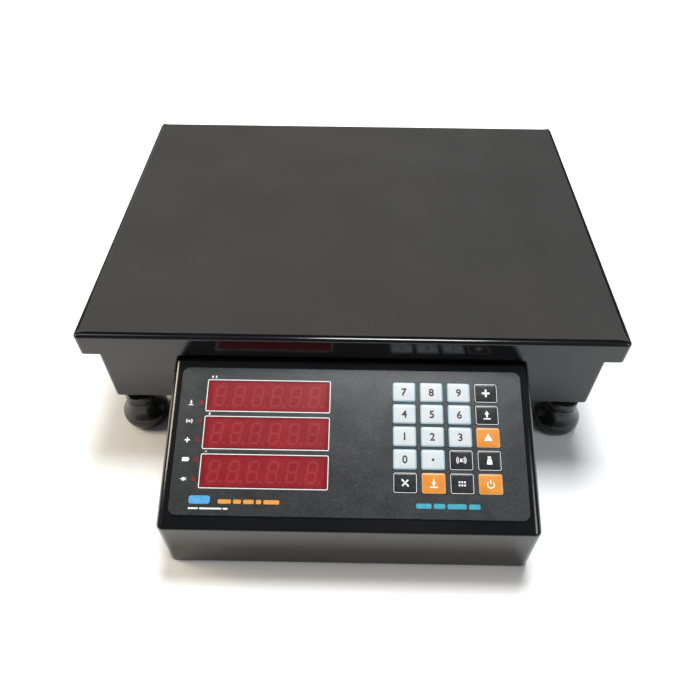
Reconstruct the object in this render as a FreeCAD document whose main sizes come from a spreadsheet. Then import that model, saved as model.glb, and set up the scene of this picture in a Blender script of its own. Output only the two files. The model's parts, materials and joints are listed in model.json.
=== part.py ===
import FreeCAD, Part
import Sketcher
import math
import os
import re

# Counting scale: a flat pan on one load cell over a sheet-steel base, with the indicator
# console on the front of the base. Millimetres, +X right, +Y to the rear, +Z up.
# The origin is on the ground, under the middle of the whole scale.
# Tools that cut a face start or end 1 mm or more beyond it, so no thin skin is left.

doc = FreeCAD.newDocument("CountingScale")
sheet = doc.addObject("Spreadsheet::Sheet", "Sizes")

# ---------------------------------------------------------------- driving sizes
sizes = {
    # platform
    "platform_width": (400.0, "pan, left to right"),
    "platform_depth": (300.0, "pan, front to rear"),
    "overall_height": (122.0, "ground to the top of the mat"),
    "mat_thick": (1.5, "anti-slip mat"),
    "mat_margin": (4.0, "painted border round the mat"),
    "mat_corner": (7.0, "corner radius of the mat"),
    "pan_sheet": (1.5, "pan steel"),
    "pan_height": (19.0, "pan top to the skirt's lower edge"),
    "pan_bend": (2.5, "outer bend radius of the top edge"),
    "pan_corner": (4.0, "corner radius of the skirt"),
    # base
    "ground_gap": (43.5, "ground to the base floor"),
    "base_height": (62.0, "base box"),
    "base_setback": (6.0, "base behind the skirt, front and rear"),
    "base_side_inset": (10.0, "base inside the skirt, left and right"),
    "base_sheet": (1.5, "base steel"),
    "base_lip": (12.0, "in-turned top flange"),
    "base_corner": (3.0, "corner radius of the base"),
    # levelling feet
    "foot_inset": (13.5, "stud axis to the base walls"),
    "foot_radius": (19.0, "widest part of the rubber"),
    "foot_sole_radius": (15.0, "flat that stands on the ground"),
    "foot_hub_radius": (12.5, "neck of the rubber"),
    "foot_bulge_low": (8.0, "height where the widest band starts"),
    "foot_bulge_high": (13.0, "height where the widest band ends"),
    "foot_flare_high": (27.0, "height where the flare meets the neck"),
    "foot_height": (37.0, "rubber, sole to top"),
    "stud_radius": (5.0, "M10 levelling stud"),
    "stud_start": (10.0, "lower end of the stud in the rubber"),
    "stud_length": (50.0, "levelling stud"),
    "stud_clearance": (0.06, "radial, stud in nut, boss and rubber"),
    "foot_nut_height": (6.0, "lock nut"),
    "foot_nut_radius": (9.2, "lock nut over its corners"),
    "boss_radius": (10.0, "weld nut on the base floor"),
    "boss_height": (10.0, "weld nut on the base floor"),
    # weighing parts
    "cushion_height": (5.0, "rubber cushion under the pan"),
    "cushion_radius": (14.0, "rubber cushion"),
    "cushion_stem_radius": (3.0, "cushion stem in the rail"),
    "ring_clearance": (0.6, "locating ring round its cushion"),
    "ring_wall": (2.0, "locating ring"),
    "ring_height": (3.5, "locating ring under the pan"),
    "rail_height": (12.0, "spider rail, square tube"),
    "rail_width": (25.0, "spider rail"),
    "rail_overhang": (16.0, "rail end past the cushion centre"),
    "rail_side_gap": (12.0, "rail end to the base's side flange"),
    "rail_end_gap": (19.5, "rail to the base's front and rear flanges"),
    "tube_wall": (1.5, "spider rail"),
    "plate_width": (140.0, "spider centre plate, left to right"),
    "plate_thick": (3.0, "spider centre plate"),
    "upper_spacer": (4.0, "between the cell and the spider"),
    "lower_spacer": (5.0, "between the cell and the channel"),
    "spacer_length": (30.0, "both spacers, along the cell"),
    "cell_length": (130.0, "load cell"),
    "cell_width": (30.0, "load cell"),
    "cell_height": (22.0, "load cell"),
    "cell_window": (7.0, "radius of the two bending holes"),
    "cell_window_pitch": (34.0, "between the bending holes"),
    "cell_bolt_end": (12.5, "end of the cell to its first bolt"),
    "cell_bolt_pitch": (15.0, "between the two bolts"),
    "cell_bolt_radius": (3.0, "M6"),
    "cell_bolt_head": (5.6, "M6 head over its corners"),
    "cell_bolt_cap": (4.0, "M6 head height"),
    "cell_bolt_grip": (10.0, "bolt in the cell"),
    "cell_thread": (13.0, "threaded holes in the cell"),
    "cell_edge": (0.6, "edge radius of the cell"),
    "bolt_slack": (0.02, "radial, bolt in its thread"),
    "bolt_fit": (0.1, "radial, bolt in its hole"),
    "channel_width": (60.0, "cross channel"),
    "channel_wall": (3.0, "cross channel"),
    "side_clearance": (0.5, "cross channel to the base walls"),
    "stop_gap": (0.65, "overload stop under the rail"),
    "stop_radius": (3.0, "overload stop, M6"),
    "stop_head_radius": (5.6, "overload stop head"),
    "stop_head": (4.0, "overload stop head height"),
    "stop_nut": (5.0, "overload stop nut height"),
    # console
    "console_width": (263.0, "indicator housing"),
    "console_reach": (112.0, "housing in front of the pan"),
    "console_drop": (4.5, "housing top under the skirt's edge"),
    "console_gap": (2.0, "housing above the ground"),
    "panel_tilt": (22.0, "degrees from level"),
    "console_sheet": (1.2, "housing steel"),
    "console_round": (6.0, "outer radius of the side edges"),
    "console_nose": (2.0, "outer radius of the front bend"),
    "cover_recess": (2.0, "bottom cover inside the housing's edge"),
    "cover_clearance": (0.4, "bottom cover to the housing walls"),
    "tab_size": (14.0, "fixing tab"),
    "tab_thick": (1.5, "fixing tab"),
    # overlay and keys
    "overlay_width": (246.0, "front overlay"),
    "overlay_height": (105.0, "front overlay, up the slope"),
    "overlay_margin": (9.5, "front bend to the overlay"),
    "overlay_corner": (5.0, "corner radius"),
    "overlay_thick": (1.0, "overlay with its spacer layer"),
    "window_width": (87.8, "display window"),
    "window_height": (22.3, "display window"),
    "window_pitch": (27.1, "window to window"),
    "window_left": (59.4, "window centre, left of the middle"),
    "window_top": (84.2, "centre of the top window"),
    "window_clearance": (0.1, "window in the overlay"),
    "module_width": (82.0, "six-digit display block"),
    "module_height": (19.0, "six-digit display block"),
    "module_depth": (8.0, "six-digit display block"),
    "module_clearance": (0.5, "display block in the housing cut-out"),
    "module_gap": (0.2, "display block under its window"),
    "lamp_left": (107.6, "indicator lamps, left of the middle"),
    "lamp_top": (78.6, "first lamp"),
    "lamp_pitch": (13.6, "lamp to lamp"),
    "lamp_radius": (1.5, "indicator lamp"),
    "lamp_clearance": (0.5, "lamp in the housing hole"),
    "key_left": (38.4, "centre of the first column"),
    "key_top": (88.8, "centre of the first row"),
    "key_pitch_x": (19.65, "column to column"),
    "key_pitch_y": (16.2, "row to row"),
    "key_width": (16.4, "key pad"),
    "key_height": (14.0, "key pad"),
    "key_thick": (0.7, "key pad"),
    "key_float": (0.6, "key pad above the housing"),
    "key_corner": (1.2, "key pad corner"),
    "key_gap": (0.2, "key pad in the overlay"),
    "stem_radius": (1.75, "switch plunger"),
    "stem_clearance": (0.3, "plunger in the switch"),
    "stem_hole_clearance": (1.5, "plunger in the housing hole"),
    "switch_size": (6.0, "tact switch"),
    "switch_height": (3.5, "tact switch"),
    "switch_well": (1.3, "plunger well in the switch"),
    "stem_bury": (0.7, "plunger in its well"),
    # board
    "board_width": (240.0, "indicator board"),
    "board_height": (102.0, "indicator board"),
    "board_thick": (1.6, "indicator board"),
    "pillar_radius": (2.75, "board pillar"),
    "pillar_inset": (5.0, "pillar to the board's edge"),
    "pillar_middle": (9.2, "middle pair of pillars, right of the middle"),
    "screw_radius": (1.5, "M3"),
    "screw_head_radius": (2.75, "M3 pan head"),
    "screw_head": (2.0, "M3 pan head height"),
    "screw_length": (5.0, "M3 shank"),
    "plug_width": (7.0, "board connector"),
    "plug_length": (9.0, "board connector"),
    "plug_height": (8.0, "board connector"),
    "plug_row": (70.0, "rear face of the connectors, up the slope"),
    # joint between console and base, and wiring
    "bolt_across": (200.0, "console bolts, left to right"),
    "bolt_low": (56.0, "lower console bolts above ground"),
    "bolt_high": (88.0, "upper console bolts above ground"),
    "bolt_radius": (2.5, "M5"),
    "bolt_head_radius": (4.6, "M5 head and nut over corners"),
    "bolt_head": (3.5, "M5 head and nut height"),
    "grommet_left": (20.0, "grommet, left of the middle"),
    "grommet_up": (73.0, "grommet above ground"),
    "grommet_bore": (7.2, "cable bore radius"),
    "grommet_radius": (9.5, "grommet in the walls"),
    "grommet_flange": (12.0, "grommet flange radius"),
    "grommet_lip": (1.5, "grommet flange thickness"),
    "cable_radius": (2.0, "internal cables"),
    "cable_pitch": (4.5, "cable to cable in the grommet"),
    # supply
    "battery_length": (101.0, "6 V battery"),
    "battery_width": (70.0, "6 V battery"),
    "battery_height": (47.0, "6 V battery"),
    "battery_left": (24.0, "battery, left face"),
    "battery_edge": (2.0, "edge radius of the battery"),
    "tag_reach": (3.0, "battery tag beyond the case"),
    "tag_thick": (0.8, "battery tag"),
    "tag_tall": (4.8, "battery tag"),
    "tag_up": (30.0, "battery tags above the floor"),
    "tag_pitch": (18.0, "tag to tag"),
    "strap_width": (18.0, "battery strap"),
    "strap_thick": (1.5, "battery strap"),
    "strap_foot": (8.0, "battery strap foot"),
    "strap_clearance": (0.3, "battery strap round the battery"),
    "core_length": (48.0, "transformer core"),
    "core_width": (24.0, "transformer core"),
    "core_height": (40.0, "transformer core"),
    "bobbin_width": (40.0, "transformer winding"),
    "bobbin_length": (30.0, "transformer winding"),
    "core_left": (100.0, "transformer centre, left of the middle"),
    "bobbin_margin": (5.0, "core above and below the winding"),
    "core_forward": (18.75, "transformer in front of the middle of its bay"),
    "inlet_left": (112.0, "mains inlet, left of the middle"),
    "inlet_up": (74.0, "mains inlet above ground"),
    "inlet_width": (27.5, "inlet body"),
    "inlet_height": (19.5, "inlet body"),
    "inlet_depth": (20.0, "inlet body behind the wall"),
    "inlet_flange_width": (50.0, "inlet flange"),
    "inlet_flange_height": (23.0, "inlet flange"),
    "inlet_flange_thick": (2.0, "inlet flange"),
    "inlet_bolt_pitch": (40.0, "inlet fixing holes"),
    "socket_width": (24.2, "socket cavity"),
    "socket_height": (16.6, "socket cavity"),
    "socket_depth": (16.0, "socket cavity"),
    "pin_reach": (9.5, "contact pins in the socket"),
    "pin_thick": (2.0, "contact pin"),
    "pin_tall": (4.0, "contact pin"),
    "pin_spread": (7.0, "outer pins from the middle"),
    "pin_drop": (5.0, "outer pins under the middle"),
    "pin_rise": (1.0, "middle pin above the middle"),
    "wall_fit": (0.3, "inlet body in the wall cut-out"),
}

for row, (alias, (amount, note)) in enumerate(sizes.items(), start=1):
    sheet.set(f"A{row}", alias.replace("_", " "))
    sheet.set(f"B{row}", str(amount))
    sheet.setAlias(f"B{row}", alias)
    sheet.set(f"C{row}", note)
doc.recompute()

# ---------------------------------------------------------------- places that follow from them
derived = {
    "front_edge": "(console_reach - platform_depth) / 2",
    "rear_edge": "front_edge + platform_depth",
    "middle": "front_edge + platform_depth / 2",
    "pan_top": "overall_height - mat_thick",
    "pan_bottom": "pan_top - pan_height",
    "pan_ceiling": "pan_top - pan_sheet",
    "base_front": "front_edge + base_setback",
    "base_rear": "rear_edge - base_setback",
    "base_width": "platform_width - 2 * base_side_inset",
    "base_depth": "platform_depth - 2 * base_setback",
    "base_top": "ground_gap + base_height",
    "floor_top": "ground_gap + base_sheet",
    "foot_x": "base_width / 2 - foot_inset",
    "foot_y": "base_depth / 2 - foot_inset",
    "rail_top": "pan_ceiling - cushion_height",
    "rail_bottom": "rail_top - rail_height",
    "rail_length": "base_width - 2 * base_lip - 2 * rail_side_gap",
    "cushion_across": "rail_length - 2 * rail_overhang",
    "cushion_along": "base_depth - 2 * base_lip - rail_width - 2 * rail_end_gap",
    "plate_bottom": "rail_bottom - plate_thick",
    "cell_top": "plate_bottom - upper_spacer",
    "cell_bottom": "cell_top - cell_height",
    "channel_top": "cell_bottom - lower_spacer",
    "channel_height": "channel_top - floor_top",
    "channel_length": "base_width - 2 * base_sheet - 2 * side_clearance",
    "bolt_x": "cell_length / 2 - cell_bolt_end - cell_bolt_pitch / 2",
    "stop_top": "rail_bottom - stop_gap",
    "console_front": "front_edge - console_reach",
    "console_top": "pan_bottom - console_drop",
    "nose_up": "console_top - console_reach * tan(panel_tilt)",
    "panel_y": "console_front + overlay_margin * cos(panel_tilt)",
    "panel_z": "nose_up + overlay_margin * sin(panel_tilt)",
    "cover_bottom": "console_gap + cover_recess",
    "cover_top": "cover_bottom + console_sheet",
    "inner_half": "console_width / 2 - console_sheet",
    "board_top": "-(module_depth + module_gap)",
    "board_bottom": "board_top - board_thick",
    "board_low": "(overlay_height - board_height) / 2",
    "switch_top": "board_top + switch_height",
    "stem_low": "switch_top - stem_bury",
    "bay_middle": "(middle + channel_width / 2 + base_rear - base_sheet) / 2",
    "core_y": "bay_middle - core_forward",
}


def full(text):
    """Writes an expression with the sheet's name before each alias."""
    def swap(match):
        word = match.group(0)
        if word in derived:
            return "(" + full(derived[word]) + ")"
        if word in sizes:
            return "Sizes." + word
        return word
    return re.sub(r"[a-z][a-z_0-9]*", swap, text)


def value(text):
    return float(sheet.evalExpression(full(text)))


def bind(thing, prop, text):
    thing.setExpression(prop, full(str(text)))


def move(thing, x="0", y="0", z="0"):
    for axis, amount in zip("xyz", (x, y, z)):
        bind(thing, "Placement.Base." + axis, amount)


def on_panel(thing, u="0", v="0", w="0"):
    """Lays a piece on the sloping panel: u right, v up the slope, w out of the panel."""
    tilt = FreeCAD.Rotation(FreeCAD.Vector(1, 0, 0), 1)
    thing.Placement = FreeCAD.Placement(FreeCAD.Vector(), tilt)
    bind(thing, "Placement.Rotation.Angle", "panel_tilt")
    bind(thing, "Placement.Base.x", u)
    bind(thing, "Placement.Base.y", f"panel_y + ({v}) * cos(panel_tilt) - ({w}) * sin(panel_tilt)")
    bind(thing, "Placement.Base.z", f"panel_z + ({v}) * sin(panel_tilt) + ({w}) * cos(panel_tilt)")


pieces = []


def keep(thing, label):
    thing.Label = label
    pieces.append(thing)
    return thing


# ---------------------------------------------------------------- solids from primitives
def block(x, y, z, wide, deep, tall):
    """A box centred on x and y, standing on z."""
    thing = doc.addObject("Part::Box", "Block")
    bind(thing, "Length", wide)
    bind(thing, "Width", deep)
    bind(thing, "Height", tall)
    move(thing, f"{x} - ({wide}) / 2", f"{y} - ({deep}) / 2", z)
    return thing


def rod(x, y, z, radius, tall, along="z"):
    """A cylinder that starts at x, y, z and runs along +z, +y or +x."""
    thing = doc.addObject("Part::Cylinder", "Rod")
    bind(thing, "Radius", radius)
    bind(thing, "Height", tall)
    turn = {"z": ((0, 0, 1), 0), "y": ((1, 0, 0), -90), "x": ((0, 1, 0), 90)}[along]
    thing.Placement = FreeCAD.Placement(
        FreeCAD.Vector(), FreeCAD.Rotation(FreeCAD.Vector(*turn[0]), turn[1]))
    move(thing, x, y, z)
    return thing


def hexagon(x, y, z, radius, tall, along="z"):
    """A hexagonal prism over its corners' radius, placed as a rod is."""
    thing = doc.addObject("Part::Prism", "Hexagon")
    thing.Polygon = 6
    bind(thing, "Circumradius", radius)
    bind(thing, "Height", tall)
    turn = {"z": ((0, 0, 1), 0), "y": ((1, 0, 0), -90)}[along]
    thing.Placement = FreeCAD.Placement(
        FreeCAD.Vector(), FreeCAD.Rotation(FreeCAD.Vector(*turn[0]), turn[1]))
    move(thing, x, y, z)
    return thing


def join(*parts):
    thing = doc.addObject("Part::MultiFuse", "Joined")
    thing.Shapes = list(parts)
    thing.Refine = True
    return thing


def subtract(base, tool):
    thing = doc.addObject("Part::Cut", "Trimmed")
    thing.Base = base
    thing.Tool = tool
    return thing


def group(*parts):
    thing = doc.addObject("Part::Compound", "Group")
    thing.Links = list(parts)
    return thing


# ---------------------------------------------------------------- solids from sketches
class Maker:
    """A PartDesign body whose sketches sit on its own origin planes."""

    def __init__(self, label):
        self.body = doc.addObject("PartDesign::Body", "Body")
        self.body.Label = label

    def plane(self, role):
        return next(f for f in self.body.Origin.OriginFeatures if f.Role == role)

    def sketch(self, role, east, north, out):
        sketch = self.body.newObject("Sketcher::SketchObject", "Sketch")
        sketch.AttachmentSupport = (self.plane(role), [""])
        sketch.MapMode = "FlatFace"
        for axis, amount in zip("xyz", (east, north, out)):
            bind(sketch, "AttachmentOffset.Base." + axis, amount)
        return sketch

    def rectangle(self, role, east, north, out, wide, tall):
        """A rectangle centred on the sketch's own origin."""
        sketch = self.sketch(role, east, north, out)
        corner = [FreeCAD.Vector(x, y, 0) for x, y in ((-1, -1), (1, -1), (1, 1), (-1, 1))]
        for i in range(4):
            sketch.addGeometry(Part.LineSegment(corner[i], corner[(i + 1) % 4]), False)
        for i in range(4):
            sketch.addConstraint(Sketcher.Constraint("Coincident", i, 2, (i + 1) % 4, 1))
            sketch.addConstraint(Sketcher.Constraint("Vertical" if i % 2 else "Horizontal", i))
        sketch.addConstraint(Sketcher.Constraint("Symmetric", 0, 1, 2, 1, -1, 1))
        w = sketch.addConstraint(Sketcher.Constraint("DistanceX", 0, 1, 0, 2, 2.0))
        h = sketch.addConstraint(Sketcher.Constraint("DistanceY", 1, 1, 1, 2, 2.0))
        bind(sketch, f"Constraints[{w}]", wide)
        bind(sketch, f"Constraints[{h}]", tall)
        return sketch

    def circle(self, role, east, north, out, radius):
        sketch = self.sketch(role, east, north, out)
        sketch.addGeometry(Part.Circle(FreeCAD.Vector(0, 0, 0), FreeCAD.Vector(0, 0, 1), 1.0), False)
        sketch.addConstraint(Sketcher.Constraint("Coincident", 0, 3, -1, 1))
        r = sketch.addConstraint(Sketcher.Constraint("Radius", 0, 1.0))
        bind(sketch, f"Constraints[{r}]", radius)
        return sketch

    def outline(self, role, east, north, out, points):
        """A closed outline; each point has a rough place and its two distances from the origin."""
        sketch = self.sketch(role, east, north, out)
        rough = [FreeCAD.Vector(value(x), value(y), 0) for x, y in points]
        count = len(points)
        for i in range(count):
            sketch.addGeometry(Part.LineSegment(rough[i], rough[(i + 1) % count]), False)
        for i in range(count):
            sketch.addConstraint(Sketcher.Constraint("Coincident", i, 2, (i + 1) % count, 1))
        for i, (x, y) in enumerate(points):
            for kind, amount in (("DistanceX", x), ("DistanceY", y)):
                if abs(value(amount)) < 1e-9:
                    on_axis = -2 if kind == "DistanceX" else -1
                    sketch.addConstraint(Sketcher.Constraint("PointOnObject", i, 1, on_axis))
                else:
                    at = sketch.addConstraint(Sketcher.Constraint(kind, -1, 1, i, 1, value(amount)))
                    bind(sketch, f"Constraints[{at}]", amount)
        return sketch

    def volume(self):
        doc.recompute()
        return self.body.Shape.Volume if self.body.Tip else 0.0

    def pad(self, sketch, length, both=False):
        before = self.volume()
        pad = self.body.newObject("PartDesign::Pad", "Pad")
        pad.Profile = sketch
        pad.Refine = True
        pad.SideType = "Symmetric" if both else "One side"
        bind(pad, "Length", length)
        if self.volume() <= before:
            raise RuntimeError(f"{self.body.Label}: a pad adds nothing")
        return pad

    def cut(self, sketch, length, both=False):
        """Removes material from the sketch's plane towards its normal."""
        before = self.volume()
        pocket = self.body.newObject("PartDesign::Pocket", "Pocket")
        pocket.Profile = sketch
        pocket.Refine = True
        pocket.Reversed = True
        pocket.SideType = "Symmetric" if both else "One side"
        bind(pocket, "Length", length)
        if self.volume() >= before:
            raise RuntimeError(f"{self.body.Label}: a pocket cuts nothing")
        return pocket

    def edges(self, test):
        doc.recompute()
        shape = self.body.Tip.Shape
        return [f"Edge{i}" for i, edge in enumerate(shape.Edges, start=1) if test(edge)]

    def round_off(self, radius, test):
        names = self.edges(test)
        if not names:
            raise RuntimeError(f"{self.body.Label}: no edge to round")
        solid = self.body.Tip
        fillet = self.body.newObject("PartDesign::Fillet", "Fillet")
        fillet.Base = (solid, names)
        bind(fillet, "Radius", radius)
        self.body.Tip = fillet
        doc.recompute()
        if "Invalid" in fillet.State or fillet.Shape.isNull():
            raise RuntimeError(f"{self.body.Label}: a fillet failed on {names}")
        return fillet


def is_upright(edge):
    box = edge.BoundBox
    return box.XLength < 0.001 and box.YLength < 0.001 and box.ZLength > 0.01


def at_height(level):
    def test(edge):
        box = edge.BoundBox
        return abs(box.ZMin - level) < 0.001 and abs(box.ZMax - level) < 0.001
    return test


# ---------------------------------------------------------------- platform
def crowned_block(label, low, tall, inset, corner, bend):
    """A block of the platform's outline with rounded corners and a rounded top edge."""
    maker = Maker(label)
    sketch = maker.rectangle("XY_Plane", "0", "middle", low, f"platform_width - 2 * ({inset})",
                             f"platform_depth - 2 * ({inset})")
    maker.pad(sketch, tall)
    maker.round_off(corner, is_upright)
    maker.round_off(bend, at_height(value(f"{low} + {tall}")))
    return maker.body


def make_pan():
    """A folded pan, open below, with a locating ring welded round each cushion's place."""
    outer = crowned_block("pan_outside", "pan_bottom", "pan_height", "0", "pan_corner", "pan_bend")
    inner = crowned_block("pan_inside", "pan_bottom", "pan_height - pan_sheet", "pan_sheet",
                          "pan_corner - pan_sheet", "pan_bend - pan_sheet")
    rings = []
    for sx in (-1, 1):
        for sy in (-1, 1):
            at = (f"{sx} * cushion_across / 2", f"middle + {sy} * cushion_along / 2")
            bore = "cushion_radius + ring_clearance"
            low = "pan_ceiling - ring_height"
            ring = rod(*at, low, f"{bore} + ring_wall", "ring_height")
            rings.append(subtract(ring, rod(*at, low, bore, "ring_height")))
    return keep(join(subtract(outer, inner), *rings), "platform_pan")


def make_mat():
    maker = Maker("platform_mat")
    sketch = maker.rectangle("XY_Plane", "0", "middle", "pan_top",
                             "platform_width - 2 * mat_margin", "platform_depth - 2 * mat_margin")
    maker.pad(sketch, "mat_thick")
    maker.round_off("mat_corner", is_upright)
    return keep(maker.body, "platform_mat")


# ---------------------------------------------------------------- parts that carry the pan
def make_cushions():
    cushions = []
    for sx in (-1, 1):
        for sy in (-1, 1):
            x = f"{sx} * cushion_across / 2"
            y = f"middle + {sy} * cushion_along / 2"
            pad = rod(x, y, "rail_top", "cushion_radius", "cushion_height")
            stem = rod(x, y, "rail_top - 2 * tube_wall", "cushion_stem_radius", "2 * tube_wall")
            cushions.append(join(pad, stem))
    return keep(group(*cushions), "pan_cushions")


def make_spider():
    parts = []
    holes = []
    for sy in (-1, 1):
        y = f"middle + {sy} * cushion_along / 2"
        rail = block("0", y, "rail_bottom", "rail_length", "rail_width", "rail_height")
        hollow = block("0", y, "rail_bottom + tube_wall", "rail_length + 2",
                       "rail_width - 2 * tube_wall", "rail_height - 2 * tube_wall")
        parts.append(subtract(rail, hollow))
        for sx in (-1, 1):
            holes.append(rod(f"{sx} * cushion_across / 2", y, "rail_top - 2 * tube_wall",
                             "cushion_stem_radius", "3 * tube_wall"))
    plate = block("0", "middle", "plate_bottom", "plate_width",
                  "cushion_along + rail_width", "plate_thick")
    for side in (-1, 1):
        holes.append(rod(f"bolt_x + {side} * cell_bolt_pitch / 2", "middle", "plate_bottom - 1",
                         "cell_bolt_radius + bolt_fit", "plate_thick + 2"))
    spider = subtract(join(plate, *parts), group(*holes))
    return keep(spider, "load_spider")


def make_spacer(label, sign, level, thick):
    """A packing plate between the cell's end and what it is bolted to."""
    x = f"{sign} * bolt_x"
    plate = block(x, "middle", level, "spacer_length", "cell_width", thick)
    holes = [rod(f"{x} + {side} * cell_bolt_pitch / 2", "middle", f"{level} - 1",
                 "cell_bolt_radius + bolt_fit", f"{thick} + 2") for side in (-1, 1)]
    return keep(subtract(plate, group(*holes)), label)


def make_load_cell():
    """A bending beam: its two joined holes leave thin webs above and below."""
    maker = Maker("load_cell")
    maker.pad(maker.rectangle("XY_Plane", "0", "middle", "cell_bottom", "cell_length", "cell_width"),
              "cell_height")
    centre = "cell_bottom + cell_height / 2"
    for side in (-1, 1):
        sketch = maker.circle("XZ_Plane", f"{side} * cell_window_pitch / 2", centre, "-middle",
                              "cell_window")
        maker.cut(sketch, "cell_width + 2", both=True)
    slot = maker.rectangle("XZ_Plane", "0", centre, "-middle", "cell_window_pitch", "cell_window")
    maker.cut(slot, "cell_width + 2", both=True)
    for side in (-1, 1):
        offset = f"{side} * cell_bolt_pitch / 2"
        upper = maker.circle("XY_Plane", f"bolt_x + {offset}", "middle", "cell_top - cell_thread",
                             "cell_bolt_radius")
        maker.cut(upper, "cell_thread")
        lower = maker.circle("XY_Plane", f"-bolt_x + {offset}", "middle", "cell_bottom",
                             "cell_bolt_radius")
        maker.cut(lower, "cell_thread")
    full_height = value("cell_height") - 1
    maker.round_off("cell_edge", lambda edge: is_upright(edge) and edge.Length > full_height)
    return keep(maker.body, "load_cell")


def make_cell_bolts():
    """Two M6 bolts down into the loaded end and two up into the fixed end."""
    radius = "cell_bolt_radius - bolt_slack"
    upper = []
    lower = []
    for side in (-1, 1):
        x = f"bolt_x + {side} * cell_bolt_pitch / 2"
        shank = rod(x, "middle", "cell_top - cell_bolt_grip", radius,
                    "cell_bolt_grip + upper_spacer + plate_thick")
        cap = hexagon(x, "middle", "rail_bottom", "cell_bolt_head", "cell_bolt_cap")
        upper.append(join(shank, cap))
        x = f"-bolt_x + {side} * cell_bolt_pitch / 2"
        shank = rod(x, "middle", "channel_top - channel_wall", radius,
                    "cell_bolt_grip + lower_spacer + channel_wall")
        cap = hexagon(x, "middle", "channel_top - channel_wall - cell_bolt_cap", "cell_bolt_head",
                      "cell_bolt_cap")
        lower.append(join(shank, cap))
    keep(group(*upper), "cell_bolts_upper")
    keep(group(*lower), "cell_bolts_lower")


# ---------------------------------------------------------------- base
def make_base():
    maker = Maker("base_chassis")
    maker.pad(maker.rectangle("XY_Plane", "0", "middle", "ground_gap", "base_width", "base_depth"),
              "base_height")
    maker.round_off("base_corner", is_upright)
    maker.round_off("base_corner - base_sheet / 2", at_height(value("ground_gap")))
    inner = maker.rectangle("XY_Plane", "0", "middle", "floor_top",
                            "base_width - 2 * base_sheet", "base_depth - 2 * base_sheet")
    maker.cut(inner, "base_height - 2 * base_sheet")
    mouth = maker.rectangle("XY_Plane", "0", "middle", "base_top - 2 * base_sheet",
                            "base_width - 2 * base_lip", "base_depth - 2 * base_lip")
    maker.cut(mouth, "3 * base_sheet")
    for sx in (-1, 1):
        for sy in (-1, 1):
            at = (f"{sx} * foot_x", f"middle + {sy} * foot_y")
            maker.pad(maker.circle("XY_Plane", *at, "floor_top", "boss_radius"), "boss_height")
            maker.cut(maker.circle("XY_Plane", *at, "ground_gap", "stud_radius + stud_clearance"),
                      "base_sheet + boss_height")
            stop = (f"{sx} * cushion_across / 2", f"middle + {sy} * cushion_along / 2", "ground_gap")
            maker.cut(maker.circle("XY_Plane", *stop, "stop_radius + bolt_fit"), "base_sheet")
    wall = "2 * base_sheet"
    maker.cut(maker.circle("XZ_Plane", "-grommet_left", "grommet_up", "-base_front", "grommet_radius"),
              wall, both=True)
    for sx in (-1, 1):
        for level in ("bolt_low", "bolt_high"):
            sketch = maker.circle("XZ_Plane", f"{sx} * bolt_across / 2", level, "-base_front",
                                  "bolt_radius + bolt_fit")
            maker.cut(sketch, f"2 * {wall}", both=True)
    opening = maker.rectangle("XZ_Plane", "-inlet_left", "inlet_up", "-base_rear",
                              "inlet_width + 2 * wall_fit", "inlet_height + 2 * wall_fit")
    maker.cut(opening, f"2 * {wall}", both=True)
    for side in (-1, 1):
        sketch = maker.circle("XZ_Plane", f"-inlet_left + {side} * inlet_bolt_pitch / 2", "inlet_up",
                              "-base_rear", "screw_radius + bolt_fit")
        maker.cut(sketch, f"2 * {wall}", both=True)
    return keep(maker.body, "base_chassis")


def make_channel():
    """A cross channel, open downwards, that carries the fixed end of the cell."""
    outer = block("0", "middle", "floor_top", "channel_length", "channel_width", "channel_height")
    inner = block("0", "middle", "floor_top - 1", "channel_length + 2",
                  "channel_width - 2 * channel_wall", "channel_height - channel_wall + 1")
    holes = [rod(f"-bolt_x + {side} * cell_bolt_pitch / 2", "middle", "channel_top - 2 * channel_wall",
                 "cell_bolt_radius + bolt_fit", "3 * channel_wall") for side in (-1, 1)]
    return keep(subtract(outer, group(inner, *holes)), "base_channel")


def make_stops():
    """Overload stops: bolts that stand on the base floor under the rail ends."""
    stops = []
    for sx in (-1, 1):
        for sy in (-1, 1):
            at = (f"{sx} * cushion_across / 2", f"middle + {sy} * cushion_along / 2")
            low = "ground_gap - stop_nut - 1"
            shank = rod(*at, low, "stop_radius", f"stop_top - ({low})")
            head = hexagon(*at, "stop_top - stop_head", "stop_head_radius", "stop_head")
            upper = hexagon(*at, "floor_top", "stop_head_radius", "stop_nut")
            lower = hexagon(*at, "ground_gap - stop_nut", "stop_head_radius", "stop_nut")
            stops.append(join(shank, head, upper, lower))
    return keep(group(*stops), "overload_stops")


# ---------------------------------------------------------------- levelling feet
foot_places = {
    "front_left": (-1, -1),
    "front_right": (1, -1),
    "rear_left": (-1, 1),
    "rear_right": (1, 1),
}


def foot_at(corner):
    sx, sy = foot_places[corner]
    return f"{sx} * foot_x", f"middle + {sy} * foot_y"


def arc_radius(across, along):
    """Radius of an arc that ends upright after a run across and along."""
    return f"(({across}) ^ 2 + ({along}) ^ 2) / (2 * ({across}))"


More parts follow.
